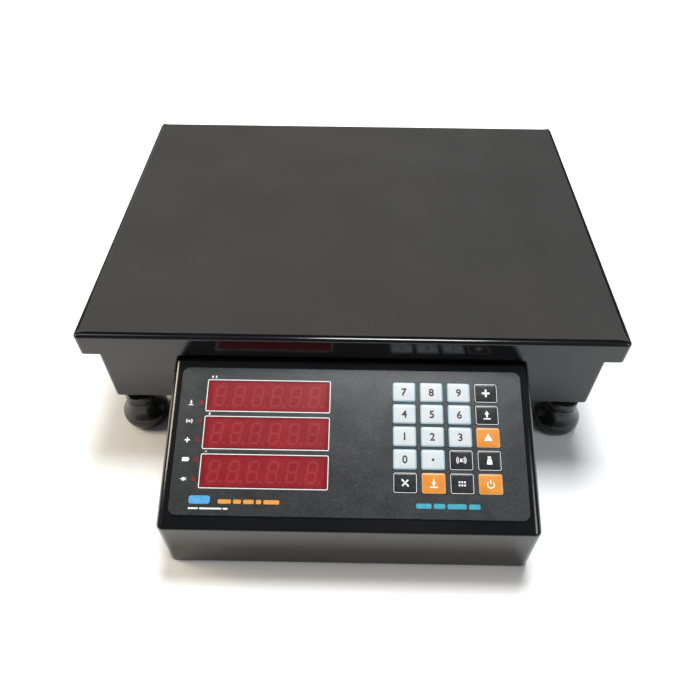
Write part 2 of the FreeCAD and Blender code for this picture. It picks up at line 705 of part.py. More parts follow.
def make_foot_pad(corner):
    """Moulded rubber: a rolled sole, a wide band, a hollow flare and a neck."""
    label = "foot_pad_" + corner
    maker = Maker(label)
    sketch = maker.sketch("XZ_Plane", "0", "0", "0")
    names = ("foot_sole_radius", "foot_radius", "foot_bulge_low", "foot_bulge_high",
             "foot_hub_radius", "foot_flare_high", "foot_height")
    sole, wide, low, high, hub, neck, top = (value(name) for name in names)
    point = FreeCAD.Vector
    bow = 0.25  # a rough start; the radius below sets the arcs
    sole_mid = point(wide - (wide - sole) * bow, low * (0.5 - bow / 4), 0)
    flare_mid = point(hub + (wide - hub) * bow, high + (neck - high) * (0.5 - bow / 4), 0)
    edges = [
        Part.LineSegment(point(0, 0, 0), point(sole, 0, 0)),
        Part.Arc(point(sole, 0, 0), sole_mid, point(wide, low, 0)),
        Part.LineSegment(point(wide, low, 0), point(wide, high, 0)),
        Part.Arc(point(wide, high, 0), flare_mid, point(hub, neck, 0)),
        Part.LineSegment(point(hub, neck, 0), point(hub, top, 0)),
        Part.LineSegment(point(hub, top, 0), point(0, top, 0)),
        Part.LineSegment(point(0, top, 0), point(0, 0, 0)),
    ]
    for edge in edges:
        sketch.addGeometry(edge, False)
    limit = Sketcher.Constraint
    sketch.addConstraint(limit("Coincident", 0, 1, -1, 1))
    for i in (0, 5):
        sketch.addConstraint(limit("Horizontal", i))
    for i in (2, 4, 6):
        sketch.addConstraint(limit("Vertical", i))
    ends = ((0, 2, 1, 1), (1, 2, 2, 1), (2, 2, 3, 2), (3, 1, 4, 1),
            (4, 2, 5, 1), (5, 2, 6, 1), (6, 2, 0, 1))
    for first, first_end, second, second_end in ends:
        sketch.addConstraint(limit("Coincident", first, first_end, second, second_end))
    rules = (("DistanceX", 0, 2, "foot_sole_radius"), ("DistanceX", 2, 1, "foot_radius"),
             ("DistanceY", 2, 1, "foot_bulge_low"), ("DistanceY", 2, 2, "foot_bulge_high"),
             ("DistanceX", 4, 1, "foot_hub_radius"), ("DistanceY", 4, 1, "foot_flare_high"),
             ("DistanceY", 4, 2, "foot_height"))
    for kind, edge, end, name in rules:
        at = sketch.addConstraint(limit(kind, -1, 1, edge, end, value(name)))
        bind(sketch, f"Constraints[{at}]", name)
    roll = arc_radius("foot_radius - foot_sole_radius", "foot_bulge_low")
    flare = arc_radius("foot_radius - foot_hub_radius", "foot_flare_high - foot_bulge_high")
    for edge, radius in ((1, roll), (3, flare)):
        at = sketch.addConstraint(limit("Radius", edge, value(radius)))
        bind(sketch, f"Constraints[{at}]", radius)
    turned = maker.body.newObject("PartDesign::Revolution", "Revolution")
    turned.Profile = sketch
    turned.ReferenceAxis = (sketch, ["V_Axis"])
    turned.Angle = 360
    maker.volume()
    maker.cut(maker.circle("XY_Plane", "0", "0", "stud_start - 0.1", "stud_radius + stud_clearance"),
              "foot_height")
    x, y = foot_at(corner)
    move(maker.body, x, y)
    return keep(maker.body, label)


def make_foot_stud(corner):
    x, y = foot_at(corner)
    thing = doc.addObject("Part::Cylinder", "Stud")
    bind(thing, "Radius", "stud_radius")
    bind(thing, "Height", "stud_length")
    move(thing, x, y, "stud_start")
    return keep(thing, "foot_stud_" + corner)


def make_lock_nuts():
    nuts = []
    for corner in foot_places:
        x, y = foot_at(corner)
        nut = hexagon(x, y, "ground_gap - foot_nut_height", "foot_nut_radius", "foot_nut_height")
        bore = rod(x, y, "ground_gap - foot_nut_height - 1", "stud_radius + stud_clearance",
                   "foot_nut_height + 2")
        nuts.append(subtract(nut, bore))
    return keep(group(*nuts), "foot_lock_nuts")


# ---------------------------------------------------------------- console
key_names = (
    ("key_7", "key_8", "key_9", "key_memory_add"),
    ("key_4", "key_5", "key_6", "key_memory_recall"),
    ("key_1", "key_2", "key_3", "key_zero"),
    ("key_0", "key_point", "key_alarm", "key_unit_weight"),
    ("key_clear", "key_tare", "key_piece_count", "key_power"),
)
key_places = [(name, f"key_left + {column} * key_pitch_x", f"key_top - {line} * key_pitch_y")
              for line, names in enumerate(key_names) for column, name in enumerate(names)]
window_places = [("-window_left", f"window_top - {line} * window_pitch") for line in range(3)]
lamp_places = [("-lamp_left", f"lamp_top - {line} * lamp_pitch") for line in range(5)]
pillar_columns = ("pillar_inset - board_width / 2", "pillar_middle", "board_width / 2 - pillar_inset")
pillar_places = [(u, f"board_low + {edge}") for u in pillar_columns
                 for edge in ("pillar_inset", "board_height - pillar_inset")]
tab_places = [(f"{side} * (inner_half - tab_size / 2)", y)
              for side in (-1, 1)
              for y in ("console_front + console_round + tab_size / 2",
                        "(console_front + base_front) / 2",
                        "base_front - console_round - tab_size / 2")]


def console_block(label, inset, below):
    """The housing's wedge, offset inwards by the inset and carried on below its lower edge."""
    maker = Maker(label)
    depth = "base_front - console_front"
    slope_up = f"nose_up - console_gap + ({inset}) * tan(panel_tilt) - ({inset}) / cos(panel_tilt)"
    ledge = f"console_top - console_gap - ({inset}) + ({below})"
    bend = f"console_reach + ({inset}) * (1 / cos(panel_tilt) - 1) / tan(panel_tilt) - ({inset})"
    profile = maker.outline("YZ_Plane", f"console_front + ({inset})", f"console_gap - ({below})", "0", [
        ("0", "0"), (f"{depth} - 2 * ({inset})", "0"), (f"{depth} - 2 * ({inset})", ledge),
        (bend, ledge), ("0", f"{slope_up} + ({below})")])
    maker.pad(profile, f"console_width - 2 * ({inset})", both=True)
    front = value(f"console_front + ({inset})")
    rear = value(f"base_front - ({inset})")
    side = value(f"console_width / 2 - ({inset})")
    foot = value(f"console_gap - ({below})")
    nose = value(f"{slope_up} + console_gap")

    def is_nose(edge):
        box = edge.BoundBox
        return box.XLength > 1 and abs(box.YMax - front) < 0.01 and abs(box.ZMin - nose) < 0.01
    maker.round_off(f"console_nose - ({inset})", is_nose)

    def is_side(edge):
        box = edge.BoundBox
        flat = abs(abs(box.XMin) - side) < 0.001 and abs(abs(box.XMax) - side) < 0.001
        return flat and box.YMin < rear - 0.01 and box.ZMax > foot + 0.01
    maker.round_off(f"console_round - ({inset})", is_side)
    return maker.body


def make_housing():
    """A folded wedge, open below, with cut-outs in its panel and tabs for its bottom cover."""
    outer = console_block("console_outside", "0", "0")
    inner = console_block("console_inside", "console_sheet", "1")
    tools = []
    for u, v in window_places:
        tools.append(block(u, v, "-3 * console_sheet", "module_width + 2 * module_clearance",
                           "module_height + 2 * module_clearance", "6 * console_sheet"))
    for u, v in lamp_places:
        tools.append(rod(u, v, "-3 * console_sheet", "lamp_radius + lamp_clearance", "6 * console_sheet"))
    for name, u, v in key_places:
        tools.append(rod(u, v, "-3 * console_sheet", "stem_radius + stem_hole_clearance",
                         "6 * console_sheet"))
    panel_tools = group(*tools)
    on_panel(panel_tools)
    wall = "6 * console_sheet"
    back = [rod("-grommet_left", "base_front - 3 * console_sheet", "grommet_up", "grommet_radius",
                wall, "y")]
    for sx in (-1, 1):
        for level in ("bolt_low", "bolt_high"):
            back.append(rod(f"{sx} * bolt_across / 2", "base_front - 3 * console_sheet", level,
                            "bolt_radius + bolt_fit", wall, "y"))
    tabs = [block(x, y, "cover_top", "tab_size", "tab_size", "tab_thick") for x, y in tab_places]
    bores = [rod(x, y, "cover_top - 1", "screw_radius", "tab_thick + 2") for x, y in tab_places]
    shelled = subtract(subtract(outer, inner), group(panel_tools, *back))
    return keep(subtract(join(shelled, *tabs), group(*bores)), "console_housing")


def make_cover():
    wide = "console_width - 2 * console_sheet - 2 * cover_clearance"
    deep = "base_front - console_front - 2 * console_sheet - 2 * cover_clearance"
    centre = "(console_front + base_front) / 2"
    maker = Maker("console_bottom")
    maker.pad(maker.rectangle("XY_Plane", "0", centre, "cover_bottom", wide, deep), "console_sheet")
    half_way = value(centre)
    maker.round_off("console_round", lambda edge: is_upright(edge) and edge.BoundBox.YMin < half_way)
    for x, y in tab_places:
        hole = maker.circle("XY_Plane", x, y, "cover_bottom", "screw_radius + bolt_fit")
        maker.cut(hole, "console_sheet")
    return keep(maker.body, "console_bottom")


def make_overlay():
    maker = Maker("overlay_sheet")
    sheet_outline = maker.rectangle("XY_Plane", "0", "overlay_height / 2", "0", "overlay_width",
                                    "overlay_height")
    maker.pad(sheet_outline, "overlay_thick")
    maker.round_off("overlay_corner", is_upright)
    tools = [block(u, v, "-1", "window_width", "window_height", "overlay_thick + 2")
             for u, v in window_places]
    tools += [block(u, v, "-1", "key_width + 2 * key_gap", "key_height + 2 * key_gap",
                    "overlay_thick + 2") for name, u, v in key_places]
    overlay = subtract(maker.body, group(*tools))
    on_panel(overlay)
    return keep(overlay, "console_overlay")


def make_windows():
    panes = [block(u, v, "0", "window_width - 2 * window_clearance",
                   "window_height - 2 * window_clearance", "overlay_thick") for u, v in window_places]
    windows = group(*panes)
    on_panel(windows)
    return keep(windows, "display_windows")


def make_modules():
    blocks = [block(u, v, "board_top", "module_width", "module_height", "module_depth")
              for u, v in window_places]
    modules = group(*blocks)
    on_panel(modules)
    return keep(modules, "display_modules")


def make_lamps():
    lamps = []
    for u, v in lamp_places:
        stalk = rod(u, v, "board_top", "lamp_radius", "-board_top - lamp_radius - module_gap")
        dome = doc.addObject("Part::Sphere", "Dome")
        bind(dome, "Radius", "lamp_radius")
        dome.Angle1 = 0
        move(dome, u, v, "-lamp_radius - module_gap")
        lamps.append(join(stalk, dome))
    lamps = group(*lamps)
    on_panel(lamps)
    return keep(lamps, "indicator_lamps")


def make_key(name, u, v):
    """A key pad in the overlay with the plunger that presses its switch."""
    maker = Maker(name)
    maker.pad(maker.rectangle("XY_Plane", "0", "0", "key_float", "key_width", "key_height"), "key_thick")
    maker.round_off("key_corner", is_upright)
    maker.pad(maker.circle("XY_Plane", "0", "0", "stem_low", "stem_radius"), "key_float - (stem_low)")
    on_panel(maker.body, u, v)
    return keep(maker.body, name)


def make_switches():
    cases = [block(u, v, "board_top", "switch_size", "switch_size", "switch_height")
             for name, u, v in key_places]
    wells = [rod(u, v, "switch_top - switch_well", "stem_radius + stem_clearance", "switch_well + 1")
             for name, u, v in key_places]
    switches = [subtract(case, well) for case, well in zip(cases, wells)]
    switches = group(*switches)
    on_panel(switches)
    return keep(switches, "tact_switches")


def make_board():
    board = block("0", "overlay_height / 2", "board_bottom", "board_width", "board_height", "board_thick")
    holes = [rod(u, v, "board_bottom - 1", "screw_radius + bolt_fit", "board_thick + 2")
             for u, v in pillar_places]
    board = subtract(board, group(*holes))
    on_panel(board)
    return keep(board, "indicator_board")


plug_places = [f"-grommet_left + {step} * (plug_width + 1)" for step in (-1, 0, 1)]


# On the board: centre to the right, centre up the slope, then width, length and height.
board_blocks = {
    "processor": (-70, 60, 14, 14, 2),
    "display driver": (-70, 30, 36, 8, 4),
    "key reader": (60, 62, 36, 8, 4),
    "converter": (60, 30, 22, 12, 3),
}
# The same, with radius and height.
board_rounds = {
    "first capacitor": (10, 40, 5, 12),
    "second capacitor": (24, 40, 5, 12),
    "sounder": (95, 84, 6.5, 9),
}


def make_components():
    """Parts soldered on the board's underside: connectors, chips, capacitors and the sounder."""
    def hung(u, v, wide, deep, tall):
        return block(u, v, f"board_bottom - {tall}", wide, deep, tall)
    parts = [hung(u, "plug_row - plug_length / 2", "plug_width", "plug_length", "plug_height")
             for u in plug_places]
    parts += [hung(*place) for place in board_blocks.values()]
    for u, v, radius, tall in board_rounds.values():
        parts.append(rod(u, v, f"board_bottom - {tall}", radius, tall))
    components = group(*parts)
    on_panel(components)
    return keep(components, "board_components")


def make_pillars():
    length = "-board_top - console_sheet"
    pillars = []
    for u, v in pillar_places:
        pillar = rod(u, v, "board_top", "pillar_radius", length)
        pillars.append(subtract(pillar, rod(u, v, "board_top - 1", "screw_radius", "screw_length")))
    pillars = group(*pillars)
    on_panel(pillars)
    return keep(pillars, "board_pillars")


def make_small_screws():
    """One kind of M3 pan-head screw holds the board, the bottom cover and the inlet."""
    board = []
    for u, v in pillar_places:
        head = rod(u, v, "board_bottom - screw_head", "screw_head_radius", "screw_head")
        shank = rod(u, v, "board_bottom", "screw_radius", "screw_length")
        board.append(join(head, shank))
    board = group(*board)
    on_panel(board)
    others = []
    for x, y in tab_places:
        head = rod(x, y, "cover_bottom - screw_head", "screw_head_radius", "screw_head")
        others.append(join(head, rod(x, y, "cover_bottom", "screw_radius", "screw_length")))
    face = "base_rear + inlet_flange_thick"
    for side in (-1, 1):
        x = f"-inlet_left + {side} * inlet_bolt_pitch / 2"
        head = rod(x, face, "inlet_up", "screw_head_radius", "screw_head", "y")
        shank = rod(x, f"{face} - screw_length", "inlet_up", "screw_radius", "screw_length", "y")
        others.append(join(head, shank))
    return keep(group(board, *others), "small_screws")


def make_console_bolts():
    bolts = []
    for sx in (-1, 1):
        for level in ("bolt_low", "bolt_high"):
            x = f"{sx} * bolt_across / 2"
            start = "base_front - console_sheet - bolt_head"
            grip = "console_sheet + base_sheet"
            head = hexagon(x, start, level, "bolt_head_radius", "bolt_head", "y")
            nut = hexagon(x, "base_front + base_sheet", level, "bolt_head_radius", "bolt_head", "y")
            shank = rod(x, "base_front - console_sheet", level, "bolt_radius",
                        f"{grip} + bolt_head + 2", "y")
            bolts.append(join(head, shank, nut))
    return keep(group(*bolts), "console_bolts")


def make_grommet():
    centre = ("-grommet_left", "grommet_up")
    grip = "console_sheet + base_sheet"
    start = "base_front - console_sheet"
    parts = [
        rod(centre[0], f"{start} - grommet_lip", centre[1], "grommet_flange", "grommet_lip", "y"),
        rod(centre[0], start, centre[1], "grommet_radius", grip, "y"),
        rod(centre[0], "base_front + base_sheet", centre[1], "grommet_flange", "grommet_lip", "y"),
    ]
    bore = rod(centre[0], f"{start} - grommet_lip - 1", centre[1], "grommet_bore",
               f"{grip} + 2 * grommet_lip + 2", "y")
    return keep(subtract(join(*parts), bore), "cable_grommet")


# ---------------------------------------------------------------- wiring
bend_share = 0.45  # of each straight run, given up to the arc at its end


def tube(route, radius):
    """A round cable along straight runs joined by tangent arcs as large as the runs allow."""
    points = [FreeCAD.Vector(*(value(c) for c in point)) for point in route]
    edges = []
    start = points[0]
    radii = []
    for before, corner, after in zip(points, points[1:], points[2:]):
        into = (corner - before).normalize()
        out = (after - corner).normalize()
        turn = into.getAngle(out)
        run = min(corner.distanceToPoint(before), corner.distanceToPoint(after))
        setback = bend_share * run
        radii.append(setback / math.tan(turn / 2))
        first = corner - into * setback
        last = corner + out * setback
        middle = (first + last) / 2
        sag = radii[-1] * (1 - math.cos(turn / 2))
        towards = (corner - middle).normalize()
        edges.append(Part.LineSegment(start, first).toShape())
        edges.append(Part.Arc(first, middle + towards * sag, last).toShape())
        start = last
    edges.append(Part.LineSegment(start, points[-1]).toShape())
    path = Part.Wire(edges)
    heading = points[1] - points[0]
    ring = Part.Wire([Part.makeCircle(radius, points[0], heading)])
    solid = path.makePipeShell([ring], True, True)
    expected = math.pi * radius ** 2 * path.Length
    if abs(solid.Volume / expected - 1) > 0.01:
        raise RuntimeError("a cable's volume is wrong")
    print("cable length", round(path.Length, 1), "radii", [round(r, 1) for r in radii])
    return solid


def panel_point(u, v, w):
    return (u, f"panel_y + ({v}) * cos(panel_tilt) - ({w}) * sin(panel_tilt)",
            f"panel_z + ({v}) * sin(panel_tilt) + ({w}) * cos(panel_tilt)")


def into_console(step):
    """The last stretch of a cable: through the grommet to its connector."""
    through = f"-grommet_left + {step} * cable_pitch"
    plug = plug_places[step + 1]
    depth = "board_bottom - plug_height / 2"
    return [
        (through, "base_front + 22", "grommet_up"),
        (through, "base_front - 4", "grommet_up + 0.5"),
        panel_point(plug, "plug_row + 15", depth),
        panel_point(plug, "plug_row", depth),
    ]


def make_cell_cable():
    x = "-cell_length / 2"
    level = "cell_bottom + cell_height / 2"
    route = [
        (x, "middle + 4", level),
        (f"{x} - 18", "middle + 4", level),
        (f"{x} - 32", "middle - 10", level),
        (f"{x} - 32", "middle - 34", f"{level} - 3"),
        (f"{x} - 12", "base_front + 76", f"{level} - 6"),
        (f"{x} + 19", "base_front + 46", "grommet_up + 2"),
    ] + into_console(0)
    cable = doc.addObject("Part::Feature", "CellCable")
    cable.Shape = tube(route, value("cable_radius"))
    return keep(cable, "cell_cable")


def make_power_leads():
    """Mains to the transformer, and low voltage from the transformer and battery to the board."""
    radius = value("cable_radius")
    inlet_back = "base_rear + inlet_flange_thick - inlet_depth - base_sheet"
    core_rear = "core_y + bobbin_width / 2"
    core_front = "core_y - bobbin_width / 2"
    mains = tube([
        ("-inlet_left + 6", inlet_back, "inlet_up - 3"),
        ("-inlet_left + 6", f"{inlet_back} - 12", "inlet_up - 3"),
        ("-core_left", f"{core_rear} + 12", "floor_top + 17"),
        ("-core_left", core_rear, "floor_top + 17"),
    ], radius)
    over = "channel_top + 6"
    supply = tube([
        ("-core_left", core_front, over),
        ("-core_left", f"{core_front} - 23", over),
        ("-core_left - 8", "middle - 12", over),
        ("-core_left - 4", "middle - 52", over),
        ("-core_left + 16", "base_front + 60", over),
        ("-core_left + 46", "base_front + 36", "grommet_up + 0.5"),
    ] + into_console(-1), radius)
    low = "channel_top + 4"
    battery = tube([
        ("battery_left", "bay_middle", "floor_top + 32"),
        ("battery_left - 20", "bay_middle", "floor_top + 32"),
        ("battery_left - 52", "bay_middle - 6", "floor_top + 32"),
        ("battery_left - 78", "bay_middle - 30", "channel_top + 7"),
        ("battery_left - 100", "middle + 36", "channel_top + 5"),
        ("battery_left - 112", "middle + 10", low),
        ("battery_left - 112", "middle - 24", low),
        ("battery_left - 98", "base_front + 88", "grommet_up"),
        ("battery_left - 68", "base_front + 52", "grommet_up + 0.5"),
    ] + into_console(1), radius)
    leads = doc.addObject("Part::Feature", "PowerLeads")
    leads.Shape = Part.makeCompound([mains, supply, battery])
    return keep(leads, "power_leads")


# ---------------------------------------------------------------- supply
def make_battery():
    maker = Maker("battery_case")
    centre = ("battery_left + battery_length / 2", "bay_middle")
    maker.pad(maker.rectangle("XY_Plane", *centre, "floor_top", "battery_length", "battery_width"),
              "battery_height")
    on_top = at_height(value("floor_top + battery_height"))
    maker.round_off("battery_edge", lambda edge: is_upright(edge) or on_top(edge))
    tags = [block("battery_left - tag_reach", f"bay_middle + {side} * tag_pitch / 2",
                  "floor_top + tag_up", "2 * tag_reach", "tag_thick", "tag_tall")
            for side in (-1, 1)]
    return keep(group(join(maker.body, *tags)), "battery")


def make_strap():
    """A steel strap over the battery, with feet on the base floor."""
    x = "battery_left + battery_length / 2"
    y = "bay_middle"
    inner = "battery_width + 2 * strap_clearance"
    tall = "battery_height + strap_clearance"
    hoop = block(x, y, "floor_top", "strap_width", f"{inner} + 2 * strap_thick", f"{tall} + strap_thick")
    hollow = block(x, y, "floor_top - 1", "strap_width + 2", inner, f"{tall} + 1")
    feet = block(x, y, "floor_top", "strap_width", f"{inner} + 2 * strap_foot", "strap_thick")
    strap = subtract(join(hoop, feet), hollow)
    return keep(strap, "battery_strap")


def make_transformer():
    core = block("-core_left", "core_y", "floor_top", "core_length", "core_width", "core_height")
    winding = block("-core_left", "core_y", "floor_top + bobbin_margin", "bobbin_length",
                    "bobbin_width", "core_height - 2 * bobbin_margin")
    return keep(join(core, winding), "transformer")


def make_inlet():
    """A panel socket with a rounded cavity and three contact pins, set in the rear wall."""
    x = "-inlet_left"
    face = "base_rear + inlet_flange_thick"
    low = "inlet_up - inlet_flange_height / 2"
    flange = block(x, "base_rear + inlet_flange_thick / 2", low, "inlet_flange_width",
                   "inlet_flange_thick", "inlet_flange_height")
    depth = "inlet_depth + base_sheet"
    body = block(x, f"{face} - ({depth}) / 2", "inlet_up - inlet_height / 2", "inlet_width", depth,
                 "inlet_height")
    cavity = block(x, f"{face} - socket_depth / 2 + 1", "inlet_up - socket_height / 2", "socket_width",
                   "socket_depth + 2", "socket_height")
    holes = [rod(f"{x} + {side} * inlet_bolt_pitch / 2", "base_rear - 1", "inlet_up",
                 "screw_radius + bolt_fit", "inlet_flange_thick + 2", "y") for side in (-1, 1)]
    shell = subtract(join(flange, body), group(cavity, *holes))
    pin_places = (("0", "pin_rise"), ("-pin_spread", "-pin_drop"), ("pin_spread", "-pin_drop"))
    pins = [block(f"{x} + ({u})", f"{face} - socket_depth + (pin_reach - 1) / 2", f"inlet_up + ({v})",
                  "pin_thick", "pin_reach + 1", "pin_tall") for u, v in pin_places]
    return keep(join(shell, *pins), "mains_inlet")


# ---------------------------------------------------------------- the scale
make_pan()
make_mat()
make_cushions()
make_spider()
make_spacer("spider_spacer", 1, "cell_top", "upper_spacer")
make_spacer("cell_spacer", -1, "channel_top", "lower_spacer")
make_load_cell()
make_cell_bolts()
make_base()
make_channel()
make_stops()
for corner in foot_places:
    make_foot_pad(corner)
    make_foot_stud(corner)
make_lock_nuts()
make_housing()
make_cover()
make_overlay()
make_windows()
make_modules()
make_lamps()
for name, u, v in key_places:
    make_key(name, u, v)
make_switches()
make_board()
make_components()
make_pillars()
make_small_screws()
make_console_bolts()
make_grommet()
make_cell_cable()
make_power_leads()
make_battery()
make_strap()
make_transformer()
make_inlet()

doc.recompute()
for thing in doc.Objects:
    if "Invalid" in thing.State or "Error" in thing.State:
        raise RuntimeError(f"{thing.Name} ({thing.Label}) failed: {thing.State}")
for piece in pieces:
    if piece.Shape.isNull() or not piece.Shape.isValid() or not piece.Shape.Solids:
        raise RuntimeError(f"{piece.Label} has no valid solid")

os.makedirs("parts", exist_ok=True)
for piece in pieces:
    piece.Shape.exportStep(os.path.join("parts", piece.Label + ".step"))
print(len(pieces), "sub-parts written")
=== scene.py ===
import json
import math
import bpy
from mathutils import Euler, Matrix, Vector


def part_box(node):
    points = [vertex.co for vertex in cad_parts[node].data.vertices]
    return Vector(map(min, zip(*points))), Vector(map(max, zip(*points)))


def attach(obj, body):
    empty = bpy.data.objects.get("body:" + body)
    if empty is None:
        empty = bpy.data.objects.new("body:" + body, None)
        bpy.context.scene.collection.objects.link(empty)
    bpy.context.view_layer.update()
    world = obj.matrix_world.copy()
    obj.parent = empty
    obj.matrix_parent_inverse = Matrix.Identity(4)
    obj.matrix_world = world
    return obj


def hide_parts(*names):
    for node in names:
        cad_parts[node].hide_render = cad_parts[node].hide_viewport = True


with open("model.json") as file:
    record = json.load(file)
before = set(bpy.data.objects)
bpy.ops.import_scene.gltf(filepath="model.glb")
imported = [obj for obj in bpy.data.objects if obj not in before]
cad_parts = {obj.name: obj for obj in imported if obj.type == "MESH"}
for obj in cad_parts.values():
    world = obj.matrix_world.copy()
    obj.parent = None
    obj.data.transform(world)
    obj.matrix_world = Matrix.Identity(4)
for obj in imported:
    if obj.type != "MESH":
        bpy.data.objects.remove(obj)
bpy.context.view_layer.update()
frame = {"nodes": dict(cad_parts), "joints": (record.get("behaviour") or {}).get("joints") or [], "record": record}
mm = 0.001

# the room and the view
room = {
    "cameraPlace": (0.0016, -0.39247, 0.44668),
    "cameraDown": 48.387,      # degrees below level
    "cameraRoll": 0.522,
    "cameraYaw": -0.529,
    "lens": 32.04,
    "floorSize": 9.0,
    "skyColour": (0.90, 0.95, 1.0, 1),
    "skyStrength": 0.12,
    "floorTone": (0.93, 0.925, 0.92, 1),
    "floorRough": 0.7,
}
softboxes = {
    "overhead": {"place": (0.16, 0.43, 1.7), "aim": (0.05, -0.05, 0.1), "size": (0.56, 0.56), "power": 36,
                 "colour": (0.93, 0.97, 1)},
    "leftHigh": {"place": (-1.3, 0.5, 1.9), "aim": (0, -0.1, 0), "size": (1.0, 0.9), "power": 8,
                 "colour": (1, 0.99, 0.97)},
    "rear": {"place": (-0.2, 1.7, 1.25), "aim": (0, 0.05, 0.1), "size": (1.8, 0.8), "power": 5,
             "colour": (0.96, 0.98, 1)},
    "rightFill": {"place": (1.3, -0.8, 1.3), "aim": (0, -0.5, 0), "size": (0.7, 0.7), "power": 9,
                  "colour": (0.98, 0.99, 1)},
    "warmLeft": {"place": (-1.0, -0.05, 0.75), "aim": (-0.12, -0.12, 0.08), "size": (0.45, 0.34), "power": 8,
                 "colour": (1, 0.87, 0.66)},
}


# working by hand
def leaveEdit():
    if bpy.context.object and bpy.context.object.mode != "OBJECT":
        bpy.ops.object.mode_set(mode="OBJECT")


def deselect():
    leaveEdit()
    bpy.ops.object.select_all(action="DESELECT")


def only(obj):
    deselect()
    obj.select_set(True)
    bpy.context.view_layer.objects.active = obj
    return obj


def editAll(obj):
    only(obj)
    bpy.ops.object.mode_set(mode="EDIT")
    bpy.ops.mesh.select_mode(type="VERT")
    bpy.ops.mesh.select_all(action="SELECT")


def pick(obj, kind, test):
    # kind is FACE, EDGE or VERT; test is given the middle, and for a face its normal too
    only(obj)
    mesh = obj.data
    for group in (mesh.vertices, mesh.edges, mesh.polygons):
        group.foreach_set("select", [False] * len(group))
    if kind == "FACE":
        for face in mesh.polygons:
            face.select = test(face.center, face.normal)
    elif kind == "EDGE":
        for edge in mesh.edges:
            a, b = (mesh.vertices[i].co for i in edge.vertices)
            edge.select = test(a, b)
    else:
        for corner in mesh.vertices:
            corner.select = test(corner.co)
    bpy.ops.object.mode_set(mode="EDIT")
    bpy.ops.mesh.select_mode(type=kind)


def raiseBy(amount):
    bpy.ops.mesh.extrude_region_move(TRANSFORM_OT_translate={"value": (0, 0, amount)})


def joined(objs, name):
    deselect()
    for obj in objs:
        obj.select_set(True)
    bpy.context.view_layer.objects.active = objs[0]
    if len(objs) > 1:
        bpy.ops.object.join()
    objs[0].name = name
    return objs[0]


def copyOf(obj, place=None):
    twin = obj.copy()
    twin.data = obj.data.copy()
    bpy.context.scene.collection.objects.link(twin)
    if place is not None:
        twin.data.transform(place)
    return twin


def settle(obj):
    # puts the object's place into its mesh
    leaveEdit()
    bpy.context.view_layer.update()
    obj.data.transform(obj.matrix_world)
    obj.matrix_world = Matrix.Identity(4)
    return obj


def smooth(obj, degrees=35):
    only(obj)
    bpy.ops.object.shade_smooth_by_angle(angle=math.radians(degrees))


def give(obj, name, body, materials):
    obj.name = name
    obj.data.name = name
    if materials:
        obj.data.materials.clear()
        for material in materials:
            obj.data.materials.append(material)
    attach(obj, body)
    return obj


# flat shapes, all lying on z 0 with their size in metres
def bar(x, y, wide, tall, turn=0.0):
    deselect()
    bpy.ops.mesh.primitive_plane_add(size=1, location=(x, y, 0), rotation=(0, 0, turn))
    bpy.context.object.scale = (wide, tall, 1)
    return settle(bpy.context.object)


def plate(x, y, wide, tall, corner, steps=5):
    obj = bar(x, y, wide, tall)
    editAll(obj)
    bpy.ops.mesh.bevel(offset=corner, segments=steps, affect="VERTICES")
    leaveEdit()
    return obj


def disc(x, y, radius, corners=28, turn=0.0):
    deselect()
    bpy.ops.mesh.primitive_circle_add(vertices=corners, radius=radius, fill_type="NGON",
                                      location=(x, y, 0), rotation=(0, 0, turn))
    return settle(bpy.context.object)


def ring(x, y, radius, width, middle=0.0, half=math.pi):
    # a band whose inner edge has the radius, kept for half an angle each side of the middle
    deselect()
    bpy.ops.mesh.primitive_circle_add(vertices=48, radius=radius, fill_type="NOTHING")
    obj = bpy.context.object
    editAll(obj)
    grow = (radius + width) / radius
    bpy.ops.mesh.extrude_edges_move()
    bpy.ops.transform.resize(value=(grow, grow, 1))
    leaveEdit()
    if half < math.pi:
        def isOut(centre, normal):
            off = math.atan2(centre.y, centre.x) - middle
            return abs(math.atan2(math.sin(off), math.cos(off))) > half
        pick(obj, "FACE", isOut)
        bpy.ops.mesh.delete(type="FACE")
        leaveEdit()
    obj.location = (x, y, 0)
    return settle(obj)


def frameOf(x, y, wide, tall, corner, width):
    obj = plate(x, y, wide, tall, corner)
    editAll(obj)
    bpy.ops.mesh.inset(thickness=width)
    bpy.ops.mesh.delete(type="FACE")
    leaveEdit()
    return obj


def stepped(corner, steps):
    # a rounded plate drawn up or down in steps, each (width, height, level)
    wide, tall, level = steps[0]
    obj = plate(0, 0, wide, tall, corner)
    obj.data.transform(Matrix.Translation((0, 0, level)))
    pick(obj, "FACE", lambda c, n: True)
    for newWide, newTall, newLevel in steps[1:]:
        raiseBy(newLevel - level)
        bpy.ops.transform.resize(value=(newWide / wide, newTall / tall, 1), center_override=(0, 0, newLevel))
        wide, tall, level = newWide, newTall, newLevel
    bpy.ops.mesh.select_all(action="SELECT")
    bpy.ops.mesh.normals_make_consistent(inside=False)
    leaveEdit()
    return obj


def painted(obj, *materials):
    for material in materials:
        obj.data.materials.append(material)
    return obj


def thicken(obj, amount):
    # gives a flat shape that faces up a thickness
    editAll(obj)
    bpy.ops.mesh.normals_make_consistent(inside=False)
    leaveEdit()
    if obj.data.polygons[0].normal.z < 0:
        editAll(obj)
        bpy.ops.mesh.flip_normals()
    editAll(obj)
    raiseBy(amount)
    bpy.ops.mesh.select_all(action="SELECT")
    bpy.ops.mesh.normals_make_consistent(inside=False)
    leaveEdit()
    return obj


